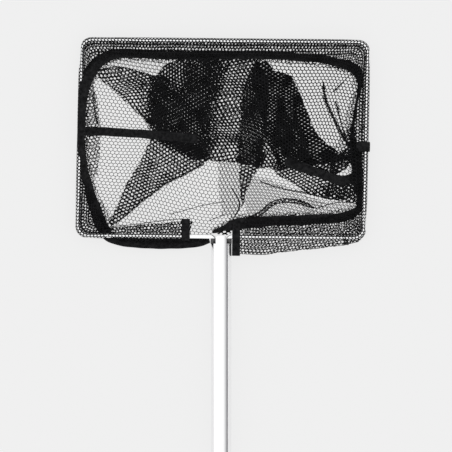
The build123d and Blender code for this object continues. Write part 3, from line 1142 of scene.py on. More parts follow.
@dataclass
class BagLie:
    """How high the slack bag lies, in millimetres, from the tape at its mouth to the ground."""

    rim_height: float = 15.2
    ground: float = 1.2
    fall: float = 21.0  # how far inside the mouth the bag comes down
    fall_sharpness: float = 1.4
    swell: float = 1.1
    swell_share: float = 0.7
    swell_wave: float = 85.0
    highest_swell: float = 3.0
    crease_reach: float = 4.0
    ceiling: float = 16.0  # what lies under the hoop stays below this
    bar_top: float = -112.0  # from here down the bag passes under the bottom bar
    bar_run: float = 18.0
    bar_room: float = 4.8
    uneven_wave: float = 24.0
    lowest: float = 0.4

    def __post_init__(self) -> None:
        """Work out the lines that the heights follow."""
        self.rim = np.array([row[:2] for row in MOUTH_ROUTE], float)
        self.closed_rim = np.vstack([self.rim, self.rim[:1]])
        self.folds = [(rounded(c.points, 2, False), c.rise) for c in CREASES.values()]

    def height(self, points: np.ndarray) -> np.ndarray:
        """Height of the bag's lowest layer.

        Args:
            points: Flat places, in millimetres.

        Returns:
            The height at each place.
        """
        inward = distance_to_line(points, self.closed_rim)
        drop = self.rim_height - self.ground
        hang = drop * np.exp(-((inward / self.fall) ** self.fall_sharpness))
        swell = self.swell * (1.0 + ripple(points, 11, self.swell_share, self.swell_wave)[:, 0])
        height = self.ground + hang + np.clip(swell, 0.0, self.highest_swell)
        for line, rise in self.folds:
            away = distance_to_line(points, line) / self.crease_reach
            height += rise * np.exp(-(away**2))
        under_bar = np.clip((self.bar_top - points[:, 1]) / self.bar_run, 0.0, 1.0)
        return np.minimum(height, self.ceiling - self.bar_room * under_bar)

    def surface(self, lift: float, seed: int = 3, unevenness: float = 0.25) -> Surface:
        """Give the surface that a layer of the bag lies on.

        Args:
            lift: Its height above the lowest layer.
            seed: Which pattern of unevenness it has.
            unevenness: How far it rises and falls.

        Returns:
            A function from flat places to places in space.
        """

        def place(points: np.ndarray) -> np.ndarray:
            """Put flat places on the layer."""
            uneven = ripple(points, seed, unevenness, self.uneven_wave)[:, 0]
            height = self.height(points) + lift + uneven
            return np.column_stack([points, np.maximum(height, self.lowest)])

        return place


@dataclass(frozen=True)
class Fold:
    """A part of the bag that lies folded over itself in several layers.

    Its lift is the lowest layer's height over the bag, and gap is between its layers. Where slip
    is set, the layers are pleats of one run of netting that lie alike, each a little to the side
    of the one below. Elsewhere tilt turns every second pair. Where stagger is set, the layers'
    edges are side by side too.
    """

    outline: tuple
    layers: int
    lift: float
    angle: float
    width: float = 0.9
    slip: float = 0.0
    tilt: float = 14.0
    gap: float = 0.75
    pitch: float = 5.25
    stretch: tuple = (1.0, 0.93)
    jitter: float = 0.35
    stagger: float = 0.0

    def knit(self, layer: int, seed: int) -> Knit:
        """The netting of one layer.

        Args:
            layer: Which layer, from below.
            seed: The fold's own number.

        Returns:
            Its netting.
        """
        plain = Knit(pitch=self.pitch, width=self.width, stretch=self.stretch)
        if self.slip:
            way = math.radians(self.angle + SLIP_TURN)
            slide = self.slip * layer
            return replace(
                plain,
                angle=self.angle,
                shift=(slide * math.cos(way), slide * math.sin(way)),
                bend=2.2,
                wave=80.0,
                seed=seed * 10,
                jitter=self.jitter,
                jitter_seed=seed * 10 + layer + 1,
            )
        side = 1.0 if layer % 2 == 0 else -1.0
        return replace(
            plain,
            angle=side * self.angle + self.tilt * (layer // 2),
            shift=(0.37 * layer * self.pitch, 0.61 * layer * self.pitch),
            bend=1.6,
            wave=45.0,
            seed=seed * 10 + layer,
        )


@dataclass(frozen=True)
class PanelFold(Fold):
    """A fold whose single layer lies the same way as the panel below it."""

    def knit(self, layer: int, seed: int) -> Knit:
        """The panel's own netting, slid along."""
        return replace(PANEL_KNIT, width=self.width, shift=(self.slip, 0.6 * self.slip))


SLIP_TURN = 38.0  # degrees from a fold's rows to the way its layers slide
PANEL_KNIT = Knit(angle=-7.0, stretch=(1.0, 0.97), bend=3.4, wave=120.0, seed=5)
GATHERED = (0.86, 0.93)
EDGE_GATHERED = (0.92, 0.93)
PINCHED = (0.8, 0.93)
FOLDS = {
    "left_wing": Fold(
        (
            (-178, 87), (-168, 93), (-159, 97), (-146, 98), (-134, 98), (-122, 95), (-103, 89),
            (-88, 85), (-80, 80), (-73, 53), (-75, 15), (-92, 14), (-103, 24), (-119, 39),
            (-135, 55), (-151, 70), (-166, 83),
        ),
        layers=3, lift=1.2, angle=11.0, width=1.08, slip=0.8,
    ),
    "left_wing_deep": Fold(
        (
            (-112, 92), (-96, 88), (-80, 84), (-74, 53), (-76, 13), (-94, 13), (-104, 23),
            (-114, 36), (-110, 60),
        ),
        layers=1, lift=3.6, angle=-30.0, width=1.0, slip=1.1,
    ),
    "low_wing": Fold(
        (
            (-95, 2), (-111, -29), (-126, -57), (-140, -85), (-154, -116), (-146, -118),
            (-134, -108), (-119, -95), (-106, -84), (-89, -71), (-71, -59), (-51, -50), (-32, -39),
            (-17, -28), (-34, -6), (-59, 0), (-84, 8),
        ),
        layers=3, lift=1.2, angle=20.0, width=1.07, slip=0.8,
    ),
    "dark_left": Fold(
        (
            (-92, 87), (-77, 88), (-69, 80), (-64, 66), (-55, 60), (-50, 72), (-50, 86), (-46, 100),
            (-40, 111), (-9, 111), (-6, 87), (-15, 53), (-18, 34), (-22, 14), (-18, -6),
            (-18, -29), (-32, -28), (-45, -23), (-58, -19), (-71, -12), (-86, 0), (-95, 13),
            (-99, 29), (-96, 55),
        ),
        layers=6, lift=2.4, angle=24.0, width=1.25, slip=0.6, tilt=23.0, gap=0.65,
        stretch=GATHERED, jitter=0.28, stagger=2.4,
    ),
    "dark_left_top": Fold(
        (
            (-74, 103), (-60, 108), (-40, 111), (-44, 96), (-48, 72), (-56, 54), (-66, 62),
            (-76, 82), (-88, 90),
        ),
        layers=4, lift=1.8, angle=-26.0, width=1.15, slip=0.85,
    ),
    "middle": Fold(
        (
            (-14, 110), (56, 110), (41, 88), (34, 71), (31, 53), (29, 1), (26, -32), (-21, -29),
            (-23, -6), (-27, 14), (-23, 34), (-20, 53), (-11, 87),
        ),
        layers=3, lift=1.6, angle=6.0, width=1.2, slip=0.95,
    ),
    "middle_deep": Fold(
        (
            (-8, 108), (12, 108), (6, 80), (-2, 50), (-6, 22), (-4, -8), (-20, -10), (-24, 14),
            (-18, 50),
        ),
        layers=2, lift=4.0, angle=-20.0, width=0.9, slip=0.0, tilt=21.0,
    ),
    "dark_right_edge": Fold(
        (
            (49, 106), (37, 88), (31, 70), (28, 53), (26, 1), (24, -33), (54, -38), (57, -24),
            (58, -8), (64, 12), (62, 53), (66, 80),
        ),
        layers=5, lift=2.2, angle=-24.0, width=1.2, slip=0.66, stretch=EDGE_GATHERED,
        jitter=0.3, stagger=1.0,
    ),
    "dark_right": Fold(
        (
            (46, 106), (61, 106), (73, 92), (80, 92), (97, 87), (100, 80), (107, 64), (115, 47),
            (120, 33), (122, 23), (130, 11), (142, -4), (153, -12), (164, -21), (177, -25),
            (160, -32), (135, -35), (110, -37), (92, -40), (80, -41), (69, -15), (57, 12),
            (52, 53), (42, 80),
        ),
        layers=7, lift=2.6, angle=31.0, width=1.25, slip=0.54, tilt=21.0, gap=0.6,
        stretch=GATHERED, jitter=0.28,
    ),
    "upper_right": PanelFold(
        (
            (56, 109), (113, 106), (134, 103), (160, 99), (172, 94), (184, 84), (190, 74),
            (186, 48), (182, 20), (178, -10), (176, -25), (162, -22), (151, -12), (128, 11),
            (120, 23), (113, 47), (105, 64), (97, 86), (79, 90), (61, 104),
        ),
        layers=1, lift=1.0, angle=-7.0, width=0.92, slip=1.0,
    ),
    "upper_right_pleat": Fold(
        (
            (186, 82), (189, 74), (186, 48), (181, 20), (178, -12), (166, -22), (153, -14),
            (160, -2), (166, 16), (172, 40), (178, 62), (180, 80),
        ),
        layers=1, lift=2.0, angle=27.0, width=0.8,
    ),
    "upper_right_tip": Fold(
        ((170, 12), (173, -2), (167, -16), (158, -26), (180, -30), (186, -4), (184, 20)),
        layers=2, lift=2.6, angle=40.0, width=1.1, slip=0.9,
    ),
    "spike": Fold(
        (
            (24, -29), (54, -35), (46, -48), (38, -62), (33, -75), (30.5, -90), (28.5, -87),
            (26, -70), (25, -52),
        ),
        layers=3, lift=1.4, angle=26.0, width=1.2, slip=0.9,
    ),
    "low_right": Fold(
        (
            (72, -37), (94, -35), (108, -36), (130, -42), (154, -49), (178, -50), (186, -50),
            (186, -73), (178, -79), (160, -83), (144, -82), (127, -78), (117, -74), (107, -67),
            (98, -61), (86, -54), (75, -47),
        ),
        layers=3, lift=1.6, angle=18.0, width=1.05, slip=0.82,
    ),
    "low_right_dark": Fold(
        (
            (124, -74), (134, -64), (152, -60), (176, -60), (187, -64), (187, -90), (168, -86),
            (146, -81),
        ),
        layers=3, lift=3.0, angle=24.0, width=1.05, slip=0.9,
    ),
    "right_corner_fold": Fold(
        (
            (132, -20), (144, -16), (158, -22), (170, -14), (177, -4), (187, -14), (187, -62),
            (178, -62), (178, -32), (170, -40), (161, -48), (140, -47), (118, -42), (108, -34),
        ),
        layers=4, lift=2.6, angle=35.0, width=1.05, slip=0.8,
    ),
    "low_right_slack": PanelFold(
        (
            (34, -48), (60, -52), (84, -64), (112, -76), (140, -86), (186, -86), (186, -104),
            (160, -106), (113, -108), (60, -110), (34, -110),
        ),
        layers=1, lift=0.9, angle=-7.0, width=0.72, slip=1.3,
    ),
    "low_right_corner": Fold(
        ((116, -78), (140, -85), (150, -100), (134, -106), (118, -104), (112, -92)),
        layers=1, lift=1.8, angle=-14.0, width=0.5,
    ),
    "centre_slack": PanelFold(
        ((-4, -27), (28, -29), (30, -70), (27, -96), (18, -108), (2, -104), (-4, -70)),
        layers=1, lift=0.9, angle=-7.0, width=0.8, slip=1.1,
    ),
    "left_strip": Fold(
        (
            (-187, 78), (-175, 82), (-171, 62), (-168, 36), (-165, 18), (-166, -8), (-168, -30),
            (-170, -50), (-184, -50), (-187, -20), (-187, 20),
        ),
        layers=2, lift=0.9, angle=12.0, width=0.82, slip=1.3,
    ),
    "top_left_slack": PanelFold(
        (
            (-178, 90), (-166, 104), (-146, 110), (-84, 108), (-64, 106), (-76, 88), (-103, 92),
            (-122, 98), (-146, 101), (-160, 99),
        ),
        layers=1, lift=0.9, angle=-7.0, width=0.5, slip=1.6,
    ),
    "tail_scrap": Fold(
        ((-6, -130), (-1, -124), (3, -121), (10, -122), (15, -127), (10, -131), (2, -131)),
        layers=3, lift=1.0, angle=30.0, width=1.1, slip=0.9,
    ),
    "low_left_corner": Fold(
        ((-170, -84), (-162, -84), (-150, -104), (-144, -122), (-158, -124), (-168, -100)),
        layers=1, lift=1.6, angle=44.0, width=0.8,
    ),
    "dark_slit": Fold(
        ((46, 2), (60, 0), (70, -10), (78, -24), (86, -42), (66, -41), (46, -37)),
        layers=3, lift=1.5, angle=6.0, width=1.2, slip=0.95,
    ),
    "right_corner_deep": Fold(
        (
            (158, -20), (170, -12), (178, -18), (178, -32), (170, -40), (162, -47), (150, -47),
            (146, -38), (152, -28),
        ),
        layers=2, lift=5.4, angle=22.0, width=1.1, slip=0.9,
    ),
    "dark_right_deep": Fold(
        (
            (74, 34), (88, 46), (100, 40), (108, 20), (116, -4), (126, -24), (110, -32), (96, -30),
            (84, -20), (76, 0),
        ),
        layers=3, lift=6.8, angle=26.0, width=1.2, slip=1.2, stretch=GATHERED,
    ),
}


@dataclass(frozen=True)
class Pleat:
    """A narrow part of the netting that lies doubled along a crease."""

    crease: str
    wide: float
    layers: int = 2
    lift: float = 2.2
    step: float = 4.0
    blunt: float = 0.12  # how wide its ends stay
    fullness: float = 2.2  # how soon it is at its full width

    def outline(self) -> np.ndarray:
        """Closed outline of the pleat, narrowing at its ends."""
        line = even_steps(rounded(CREASES[self.crease].points, 2, False), self.step)
        arch = np.sin(np.linspace(self.blunt, math.pi - self.blunt, len(line)))
        half = self.wide / 2 * np.clip(self.fullness * arch, 0, 1)
        reach = across_line(line) * half[:, None]
        return np.vstack([line + reach, (line - reach)[::-1]])


PLEATS = (
    Pleat("low_right_wave", 6.6, 3),
    Pleat("low_right_upper", 3.4, 1),
    Pleat("upper_right_long", 5.0, 3),
    Pleat("upper_right_inner", 4.0, 1),
    Pleat("left_edge", 4.0, 2),
    Pleat("left_wing_top", 3.4, 2),
    Pleat("low_wing_right", 3.4, 2),
)


@dataclass
class NettingBag:
    """The slack netting bag, its folds and its creases; sizes in millimetres."""

    yarn: bpy.types.Material
    lie: BagLie = field(default_factory=BagLie)
    edge_step: float = 4.0
    edge_waver: float = 0.8
    edge_wave: float = 16.0
    narrow_gap: float = 0.7  # between the layers of pleats and of raw edges
    raw_edges: tuple = (4.2, 2.2)  # how far each layer's raw edge shows inside the tape
    crease_step: float = 1.6
    crease_lift: float = 1.3
    crease_twist: float = 0.42
    strand_radius: float = 0.26

    def base(self) -> None:
        """Make the layer that fills the whole mouth."""
        pile = Pile()
        pile.lay(PANEL_KNIT, rounded(self.lie.rim, 1), self.lie.surface(0.0))
        pile.make("bag_panel", self.yarn, "laid", "net_bag")

    def fold(self, name: str, fold: Fold, seed: int) -> None:
        """Make one folded part, each layer with its own lie.

        Args:
            name: The part's name.
            fold: Its shape and layers.
            seed: Which pattern of unevenness it has.
        """
        outline = np.array(fold.outline, float)
        outline = even_steps(np.vstack([outline, outline[:1]]), self.edge_step)[:-1]
        outline = outline + ripple(outline, seed, self.edge_waver, self.edge_wave)
        pile = Pile()
        for layer in range(fold.layers):
            edge = outline + [fold.stagger * (layer - (fold.layers - 1) / 2), 0.0]
            surface = self.lie.surface(fold.lift + fold.gap * layer, seed + layer)
            pile.lay(fold.knit(layer, seed), edge, surface)
        pile.make(f"bag_{name}", self.yarn, "folded", "net_bag")

    def pleats(self) -> None:
        """Make the narrow doubled parts along the creases."""
        pile = Pile()
        for number, pleat in enumerate(PLEATS):
            for layer in range(pleat.layers):
                # The rows run another way in each layer, so that their holes don't line up.
                knit = Knit(
                    width=0.8,
                    angle=20.0 + 37.0 * layer + 11.0 * number,
                    stretch=PINCHED,
                    shift=(1.3 * layer, 0.9 * number),
                    seed=number,
                )
                surface = self.lie.surface(pleat.lift + self.narrow_gap * layer, number + layer)
                pile.lay(knit, pleat.outline(), surface)
        pile.make("bag_pleats", self.yarn, "folded", "net_bag")

    def seam_allowance(self) -> None:
        """Make the netting's raw edges, which show a little inside the mouth tape."""
        line = even_steps(rounded(np.array(MOUTH_ROUTE)[:, [0, 1, 3]], 2, False), self.edge_step)
        route, tape_width = line[:, :2], line[:, 2]
        inward = -across_line(route)
        pile = Pile()
        for layer, reach in enumerate(self.raw_edges):
            frayed = 1.2 * ripple(route, 60 + layer, 1.0, 20.0)[:, 0]
            deep = tape_width / 2 + reach + frayed
            outline = np.vstack([route, (route + inward * deep[:, None])[::-1]])
            knit = Knit(width=0.85, angle=17.0 + 26.0 * layer, seed=70 + layer)
            surface = self.lie.surface(1.4 + self.narrow_gap * layer, 80 + layer)
            pile.lay(knit, outline, surface)
        pile.make("bag_seam_allowance", self.yarn, "laid", "net_bag")

    def creases(self) -> None:
        """Make the creases, where the netting is pinched into a line of strands."""
        points: list[np.ndarray] = []
        faces: list[np.ndarray] = []
        for number, crease in enumerate(CREASES.values()):
            line = even_steps(rounded(crease.points, 3, False), self.crease_step)
            height = self.lie.height(line) + self.crease_lift
            side = across_line(line)
            taper = np.sin(np.linspace(0.0, math.pi, len(line)))[:, None] ** 0.5
            for strand in range(crease.strands):
                phase = math.tau * strand / crease.strands + number
                turn = np.arange(len(line)) * self.crease_twist + phase
                shift = crease.spread * np.column_stack([np.cos(turn), np.sin(1.37 * turn)])
                shift += side * taper * crease.apart * (1.0 if strand % 2 else -1.0)
                core = np.column_stack([line + shift, height + crease.spread * np.sin(turn)])
                tube, skin = strand_tube(core, self.strand_radius)
                points.append(tube)
                faces.append(skin)
        piece = new_object("bag_creases", *join_parts(points, faces), self.yarn)
        put(piece, "net_bag")
        log.info("bag_creases: %d creases", len(CREASES))

    def build(self) -> None:
        """Make the whole bag and put it in the bag's place."""
        self.base()
        for number, (name, fold) in enumerate(FOLDS.items()):
            self.fold(name, fold, number + 2)
        self.pleats()
        self.seam_allowance()
        self.creases()


# ---- The sleeve round the hoop ------------------------------------------------------------


@dataclass(frozen=True)
class HoopRoute:
    """The rod's centreline, worked out from the hoop's own sizes in millimetres."""

    width: float = 390.4
    height: float = 267.2
    corner: float = 14.0
    cross_lean: float = 0.54
    side_lean: float = 1.3

    def point(self, u: float, v: float) -> np.ndarray:
        """Place of a point u right of and v above the hoop's centre, on its racked plane."""
        cross, side = math.radians(self.cross_lean), math.radians(self.side_lean)
        x = PLACE.x / MM + u * math.cos(cross) + v * math.sin(side)
        return np.array([x, -u * math.sin(cross) + v * math.cos(side)])

    def bar_end(self, x: float) -> np.ndarray:
        """Place on the bottom bar at a given x."""
        half_w, half_h = self.width / 2, self.height / 2
        left, right = self.point(-half_w, -half_h), self.point(half_w, -half_h)
        return left + (right - left) * (x - left[0]) / (right[0] - left[0])

    def line(self, start_x: float, end_x: float, step: float) -> np.ndarray:
        """The centreline from one place on the bottom bar, clockwise, to another.

        Args:
            start_x: Where it starts, left of the pole.
            end_x: Where it ends, right of the pole.
            step: The distance between points.

        Returns:
            Points at even steps.
        """
        half_w, half_h = self.width / 2, self.height / 2
        signs = ((-1, -1), (-1, 1), (1, 1), (1, -1))
        corners = [self.point(a * half_w, b * half_h) for a, b in signs]
        route = [self.bar_end(start_x), *corners, self.bar_end(end_x)]
        points = [route[0]]
        for before, corner, after in zip(route[:-2], route[1:-1], route[2:]):
            arrive = (before - corner) / np.linalg.norm(before - corner)
            leave = (after - corner) / np.linalg.norm(after - corner)
            middle = (arrive + leave) / np.linalg.norm(arrive + leave)
            half_turn = math.acos(float(arrive @ leave)) / 2
            centre = corner + middle * self.corner / math.sin(half_turn)
            first = corner + arrive * self.corner / math.tan(half_turn) - centre
            last = corner + leave * self.corner / math.tan(half_turn) - centre
            for share in np.linspace(0.0, 1.0, 9):
                way = (1 - share) * first + share * last
                points.append(centre + way * self.corner / np.linalg.norm(way))
        points.append(route[-1])
        return even_steps(np.array(points), step)


@dataclass(frozen=True)
class SleeveStation:
    """Where the sleeve's tape and its folded edge are, beside one place of the rod."""

    rod: tuple[float, float]
    tape: tuple[float, float]
    beyond: float = 4.0
    tape_drop: float = -2.5
    edge_drop: float = 0.0


MAIN_SLEEVE = (
    SleeveStation((-156, -132), (-156, -128)),
    SleeveStation((-175, -132), (-163, -114)),
    SleeveStation((-199, -122), (-169, -103)),
    SleeveStation((-199, -92), (-176, -82)),
    SleeveStation((-198, -60), (-184, -58)),
    SleeveStation((-197.5, -30), (-189, -30), 4.0, 1.0),
    SleeveStation((-197, 0), (-190.5, 0), 4.0, 2.6),
    SleeveStation((-195.5, 62), (-188.5, 62), 4.0, 2.6),
    SleeveStation((-194, 90), (-184, 88), 4.0, 0.0),
    SleeveStation((-188, 131), (-176, 103)),
    SleeveStation((-160, 135), (-152, 117)),
    SleeveStation((-84, 134.5), (-84, 114)),
    SleeveStation((1, 133.8), (1, 115)),
    SleeveStation((113, 132.7), (113, 112)),
    SleeveStation((162, 132), (157, 106)),
    SleeveStation((196, 127), (173, 101)),
    SleeveStation((199.5, 102), (186, 92)),
    SleeveStation((199, 80), (189, 78)),
    SleeveStation((198.5, 60), (186, 60)),
    SleeveStation((197.5, 20), (180, 20)),
    SleeveStation((197, -4), (180, -6)),
    SleeveStation((196.5, -30), (186, -30)),
    SleeveStation((196, -60), (187.5, -60)),
    SleeveStation((195, -88), (189, -88)),
    SleeveStation((194.5, -112), (184, -101), 4.0),
    SleeveStation((189, -131), (171, -106), 5.5, -2.5, -2.0),
    SleeveStation((165, -135.5), (157, -109), 11.0, -2.5, -6.0),
    SleeveStation((128, -135.3), (128, -110), 16.0, -2.5, -11.0),
    SleeveStation((94, -135), (94, -111), 19.5, -2.5, -12.5),
    SleeveStation((56, -134.5), (56, -113), 25.0, -2.5, -13.0),
    SleeveStation((30, -134.3), (32, -115), 24.0, -2.5, -13.0),
    SleeveStation((16, -134), (20, -116), 22.0, -2.5, -13.0),
)
LOW_LEFT_SLEEVE = (
    SleeveStation((-45, -133.2), (-45, -139), 22.0, -4.2, -2.0),
    SleeveStation((-81, -132.8), (-81, -139.5), 18.8, -4.2, -3.0),
    SleeveStation((-111, -132.6), (-111, -139.5), 15.5, -4.2, -4.0),
    SleeveStation((-150, -132.2), (-150, -137), 11.5, -4.2, -5.0),
)


@dataclass
class SleeveSurface:
    """The netting hem that the rod runs through, flattened from its tape to its folded edge."""

    line: np.ndarray  # the rod's centreline at even steps
    stations: tuple
    step: float
    skin: float = 3.55  # the sleeve's radius round the rod
    station_near: float = 6.0
    blend: int = 9  # how many places a change is spread over
    grid: float = 1.0
    samples: int = 90
    slack: float = 0.35
    leave: float = 1.15  # how sharply the sheets leave the rod
    slant: float = 0.4  # how far the lower face has slid along
    every: int = 4  # places between an outline's points

    def __post_init__(self) -> None:
        """Work out the sleeve's cross-section all along the rod."""
        self.count = len(self.line)
        spread = self.between_stations()
        toward = spread[:, :2] - self.line
        self.reach = np.linalg.norm(toward, axis=1)
        self.toward = toward / self.reach[:, None]
        self.beyond, self.tape_drop, self.edge_drop = spread[:, 2], spread[:, 3], spread[:, 4]
        tables = [self.side(row) for row in range(self.count)]
        self.lengths = np.array([(top[0][-1], low[0][-1]) for top, low in tables])
        self.crown = np.array([np.interp(0.0, top[1], top[0]) for top, _ in tables])
        size = int(self.lengths.max() / self.grid) + 3
        spots = np.arange(size) * self.grid
        self.across = np.zeros((2, self.count, size))
        self.height = np.zeros((2, self.count, size))
        for row, table in enumerate(tables):
            for face, (along, q, z) in enumerate(table):
                self.across[face, row] = np.interp(spots, along, q)
                self.height[face, row] = np.interp(spots, along, z)

    def between_stations(self) -> np.ndarray:
        """Spread the stations' values evenly over the rod's line.

        Returns:
            For each place: the tape's x and y, how far the edge is, and both drops.
        """
        stations = self.stations
        gaps = np.array([np.linalg.norm(self.line - np.array(s.rod), axis=1) for s in stations])
        beside = gaps.min(axis=1) < self.station_near
        nearest = gaps[beside].argmin(axis=1)
        order = np.argsort(nearest)
        values = np.array([(*s.tape, s.beyond, s.tape_drop, s.edge_drop) for s in stations])[beside]
        rows = np.arange(self.count)
        places = nearest[order]
        spread = np.stack([np.interp(rows, places, column[order]) for column in values.T], 1)
        kernel = np.hanning(self.blend + 2)[1:-1]
        kernel /= kernel.sum()
        padded = np.pad(spread, ((self.blend // 2, self.blend // 2), (0, 0)), "edge")
        return np.stack([np.convolve(column, kernel, "valid") for column in padded.T], 1)

    def side(self, row: int) -> tuple:
        """Cross-section at one place: distance from the folded edge, place across and height.

        Args:
            row: Which place along the rod.

        Returns:
            One table for the upper face and one for the lower.
        """
        reach = max(self.reach[row], self.skin + 0.4)
        beyond = max(self.beyond[row], self.skin + 0.3)
        travel = (1 - np.cos(np.linspace(0, math.pi, self.samples))) / 2
        q = -beyond + (reach + beyond) * travel
        bulge = np.sqrt(np.clip(self.skin**2 - q**2, 0.0, None))
        inner = np.clip(q / reach, 0.0, 1.0)
        outer = np.clip(-q / beyond, 0.0, 1.0)
        faces = []
        for sign in (1.0, -1.0):
            round_rod, slack = sign * self.skin, self.slack * sign
            near_in, near_out = (1 - inner) ** self.leave, (1 - outer) ** self.leave
            inward = round_rod * near_in + (self.tape_drop[row] + slack) * inner
            outward = round_rod * near_out + (self.edge_drop[row] + slack) * outer
            tight = beyond < self.skin + 1.5
            sheet = np.where(q > 0, inward, 0.0 if tight else outward)
            z = np.maximum(sheet, bulge) if sign > 0 else np.minimum(sheet, -bulge)
            z = np.where((q <= 0) & tight, sign * bulge, z)
            along = np.concatenate([[0.0], np.cumsum(np.hypot(np.diff(q), np.diff(z)))])
            faces.append((along, q, z))
        return tuple(faces)

    def outline(self) -> np.ndarray:
        """Closed outline of the flat hem, measured across from the rod's upper side."""
        places = np.arange(self.count) * self.step
        top = np.column_stack([places, self.lengths[:, 0] - self.crown])
        low = np.column_stack([places, -self.lengths[:, 1] - self.crown])
        keep = slice(None, None, self.every)
        return np.vstack([top[keep], top[-1:], low[::-1][keep], low[:1]])

    def turned_in(self, deep: float) -> np.ndarray:
        """Outline of the hem's turned-in part, from beside the rod toward the tape.

        Args:
            deep: How far it reaches from the rod.

        Returns:
            The outline.
        """
        places = np.arange(self.count) * self.step
        full = self.lengths[:, 0] - self.crown
        near = np.minimum(3.0, full - 0.6)
        far = np.minimum(near + deep, full)
        keep = slice(None, None, self.every)
        outer = np.column_stack([places, far])[keep]
        inner = np.column_stack([places, near])[keep]
        return np.vstack([outer, inner[::-1]])

    def surface(self, lift: float = 0.0) -> Surface:
        """Give the surface that carries the flat hem onto the rod.

        Args:
            lift: How far outside the hem it lies.

        Returns:
            A function from flat places to places in space.
        """

        def place(points: np.ndarray) -> np.ndarray:
            """Put flat places round the rod."""
            row = np.clip(points[:, 0] / self.step, 0, self.count - 1.001)
            crown = np.interp(row, np.arange(self.count), self.crown)
            signed = points[:, 1] + crown
            slant = self.slant * np.minimum(signed, 0.0)
            row = np.clip((points[:, 0] + slant) / self.step, 0, self.count - 1.001)
            r = row.astype(int)
            fr = row - r
            spot = np.clip(np.abs(signed) / self.grid, 0, self.across.shape[2] - 1.001)
            face = (signed < 0).astype(int)
            s = spot.astype(int)
            fs = spot - s

            def read(table: np.ndarray) -> np.ndarray:
                """Read a table between its rows and columns."""
                near = table[face, r, s] * (1 - fs) + table[face, r, s + 1] * fs
                far = table[face, r + 1, s] * (1 - fs) + table[face, r + 1, s + 1] * fs
                return near * (1 - fr) + far * fr

            q, z = read(self.across), read(self.height)
            spot_xy = self.line[r] * (1 - fr[:, None]) + self.line[r + 1] * fr[:, None]
            way = self.toward[r] * (1 - fr[:, None]) + self.toward[r + 1] * fr[:, None]
            way /= np.linalg.norm(way, axis=1, keepdims=True)
            side = np.where(face == 0, 1.0, -1.0)
            return np.column_stack([spot_xy + way * q[:, None], ROD_Z + z + lift * side])

        return place


@dataclass
class NettingSleeve:
    """The whole netting hem round the hoop, in three runs; sizes in millimetres."""

    yarn: bpy.types.Material
    route: HoopRoute = field(default_factory=HoopRoute)
    step: float = 2.5
    pitch: float = 4.6
    stretch: tuple = (1.0, 0.98)
    inside: float = 0.5  # the turned-in layers lie this far under the outer one
    hem: tuple = ((60.0, 0.75), (3.4, 1.1))  # each turned-in layer's reach and strand width
    main_ends: tuple = (-156.0, 165.0)
    main_width: float = 1.5
    low_right_ends: tuple = (170.0, 19.0)
    low_right_width: float = 1.22
    low_left_ends: tuple = (-45.0, -157.0)
    low_left_width: float = 1.3

    def knit(
        self, outline: np.ndarray, width: float, slide: float, bend: float, angle: float
    ) -> Knit:
        """Netting whose rows follow the rod, with one row of holes along its upper side.

        Args:
            outline: The part's closed outline.
            width: How wide its strands are.
            slide: How far it is slid from the rod.
            bend: How uneven its rows are.
            angle: How far its rows are turned.

        Returns:
            The netting.
        """
        centre = (outline.min(0) + outline.max(0)) / 2
        return Knit(
            pitch=self.pitch,
            width=width,
            angle=angle,
            stretch=self.stretch,
            shift=(slide, (slide - centre[1]) / self.stretch[1]),
            bend=bend,
            wave=60.0,
            seed=31 + int(slide * 10),
        )

    def run(self, name: str, stations: tuple, line: np.ndarray, width: float) -> None:
        """Make one run of the sleeve.

        Args:
            name: The run's name.
            stations: Its stations.
            line: The rod's centreline there.
            width: How wide its strands are.
        """
        sleeve = SleeveSurface(line, stations, self.step)
        outline = sleeve.outline()
        pile = Pile()
        pile.lay(self.knit(outline, width, 0.0, 0.3, 0.0), outline, sleeve.surface())
        for deep, strand in self.hem:
            outline = sleeve.turned_in(deep)
            knit = self.knit(outline, strand, 1.7, 0.8, 30.0)
            pile.lay(knit, outline, sleeve.surface(-self.inside))
        pile.make(name, self.yarn, "stretched", "net_sleeve")

    def build(self) -> None:
        """Make all the runs."""
        around = self.route.line(*self.main_ends, self.step)
        self.run("hem_sleeve", MAIN_SLEEVE, around, self.main_width)
        low_right = self.low_line(self.low_right_ends)
        self.run("hem_sleeve_low_right", MAIN_SLEEVE, low_right, self.low_right_width)
        low_left = self.low_line(self.low_left_ends)
        self.run("hem_sleeve_low_left", LOW_LEFT_SLEEVE, low_left, self.low_left_width)

    def low_line(self, ends: tuple) -> np.ndarray:
        """The rod's centreline between two places on the bottom bar."""
        return even_steps(np.array([self.route.bar_end(x) for x in ends]), self.step)


# ---- Tapes --------------------------------------------------------------------------------


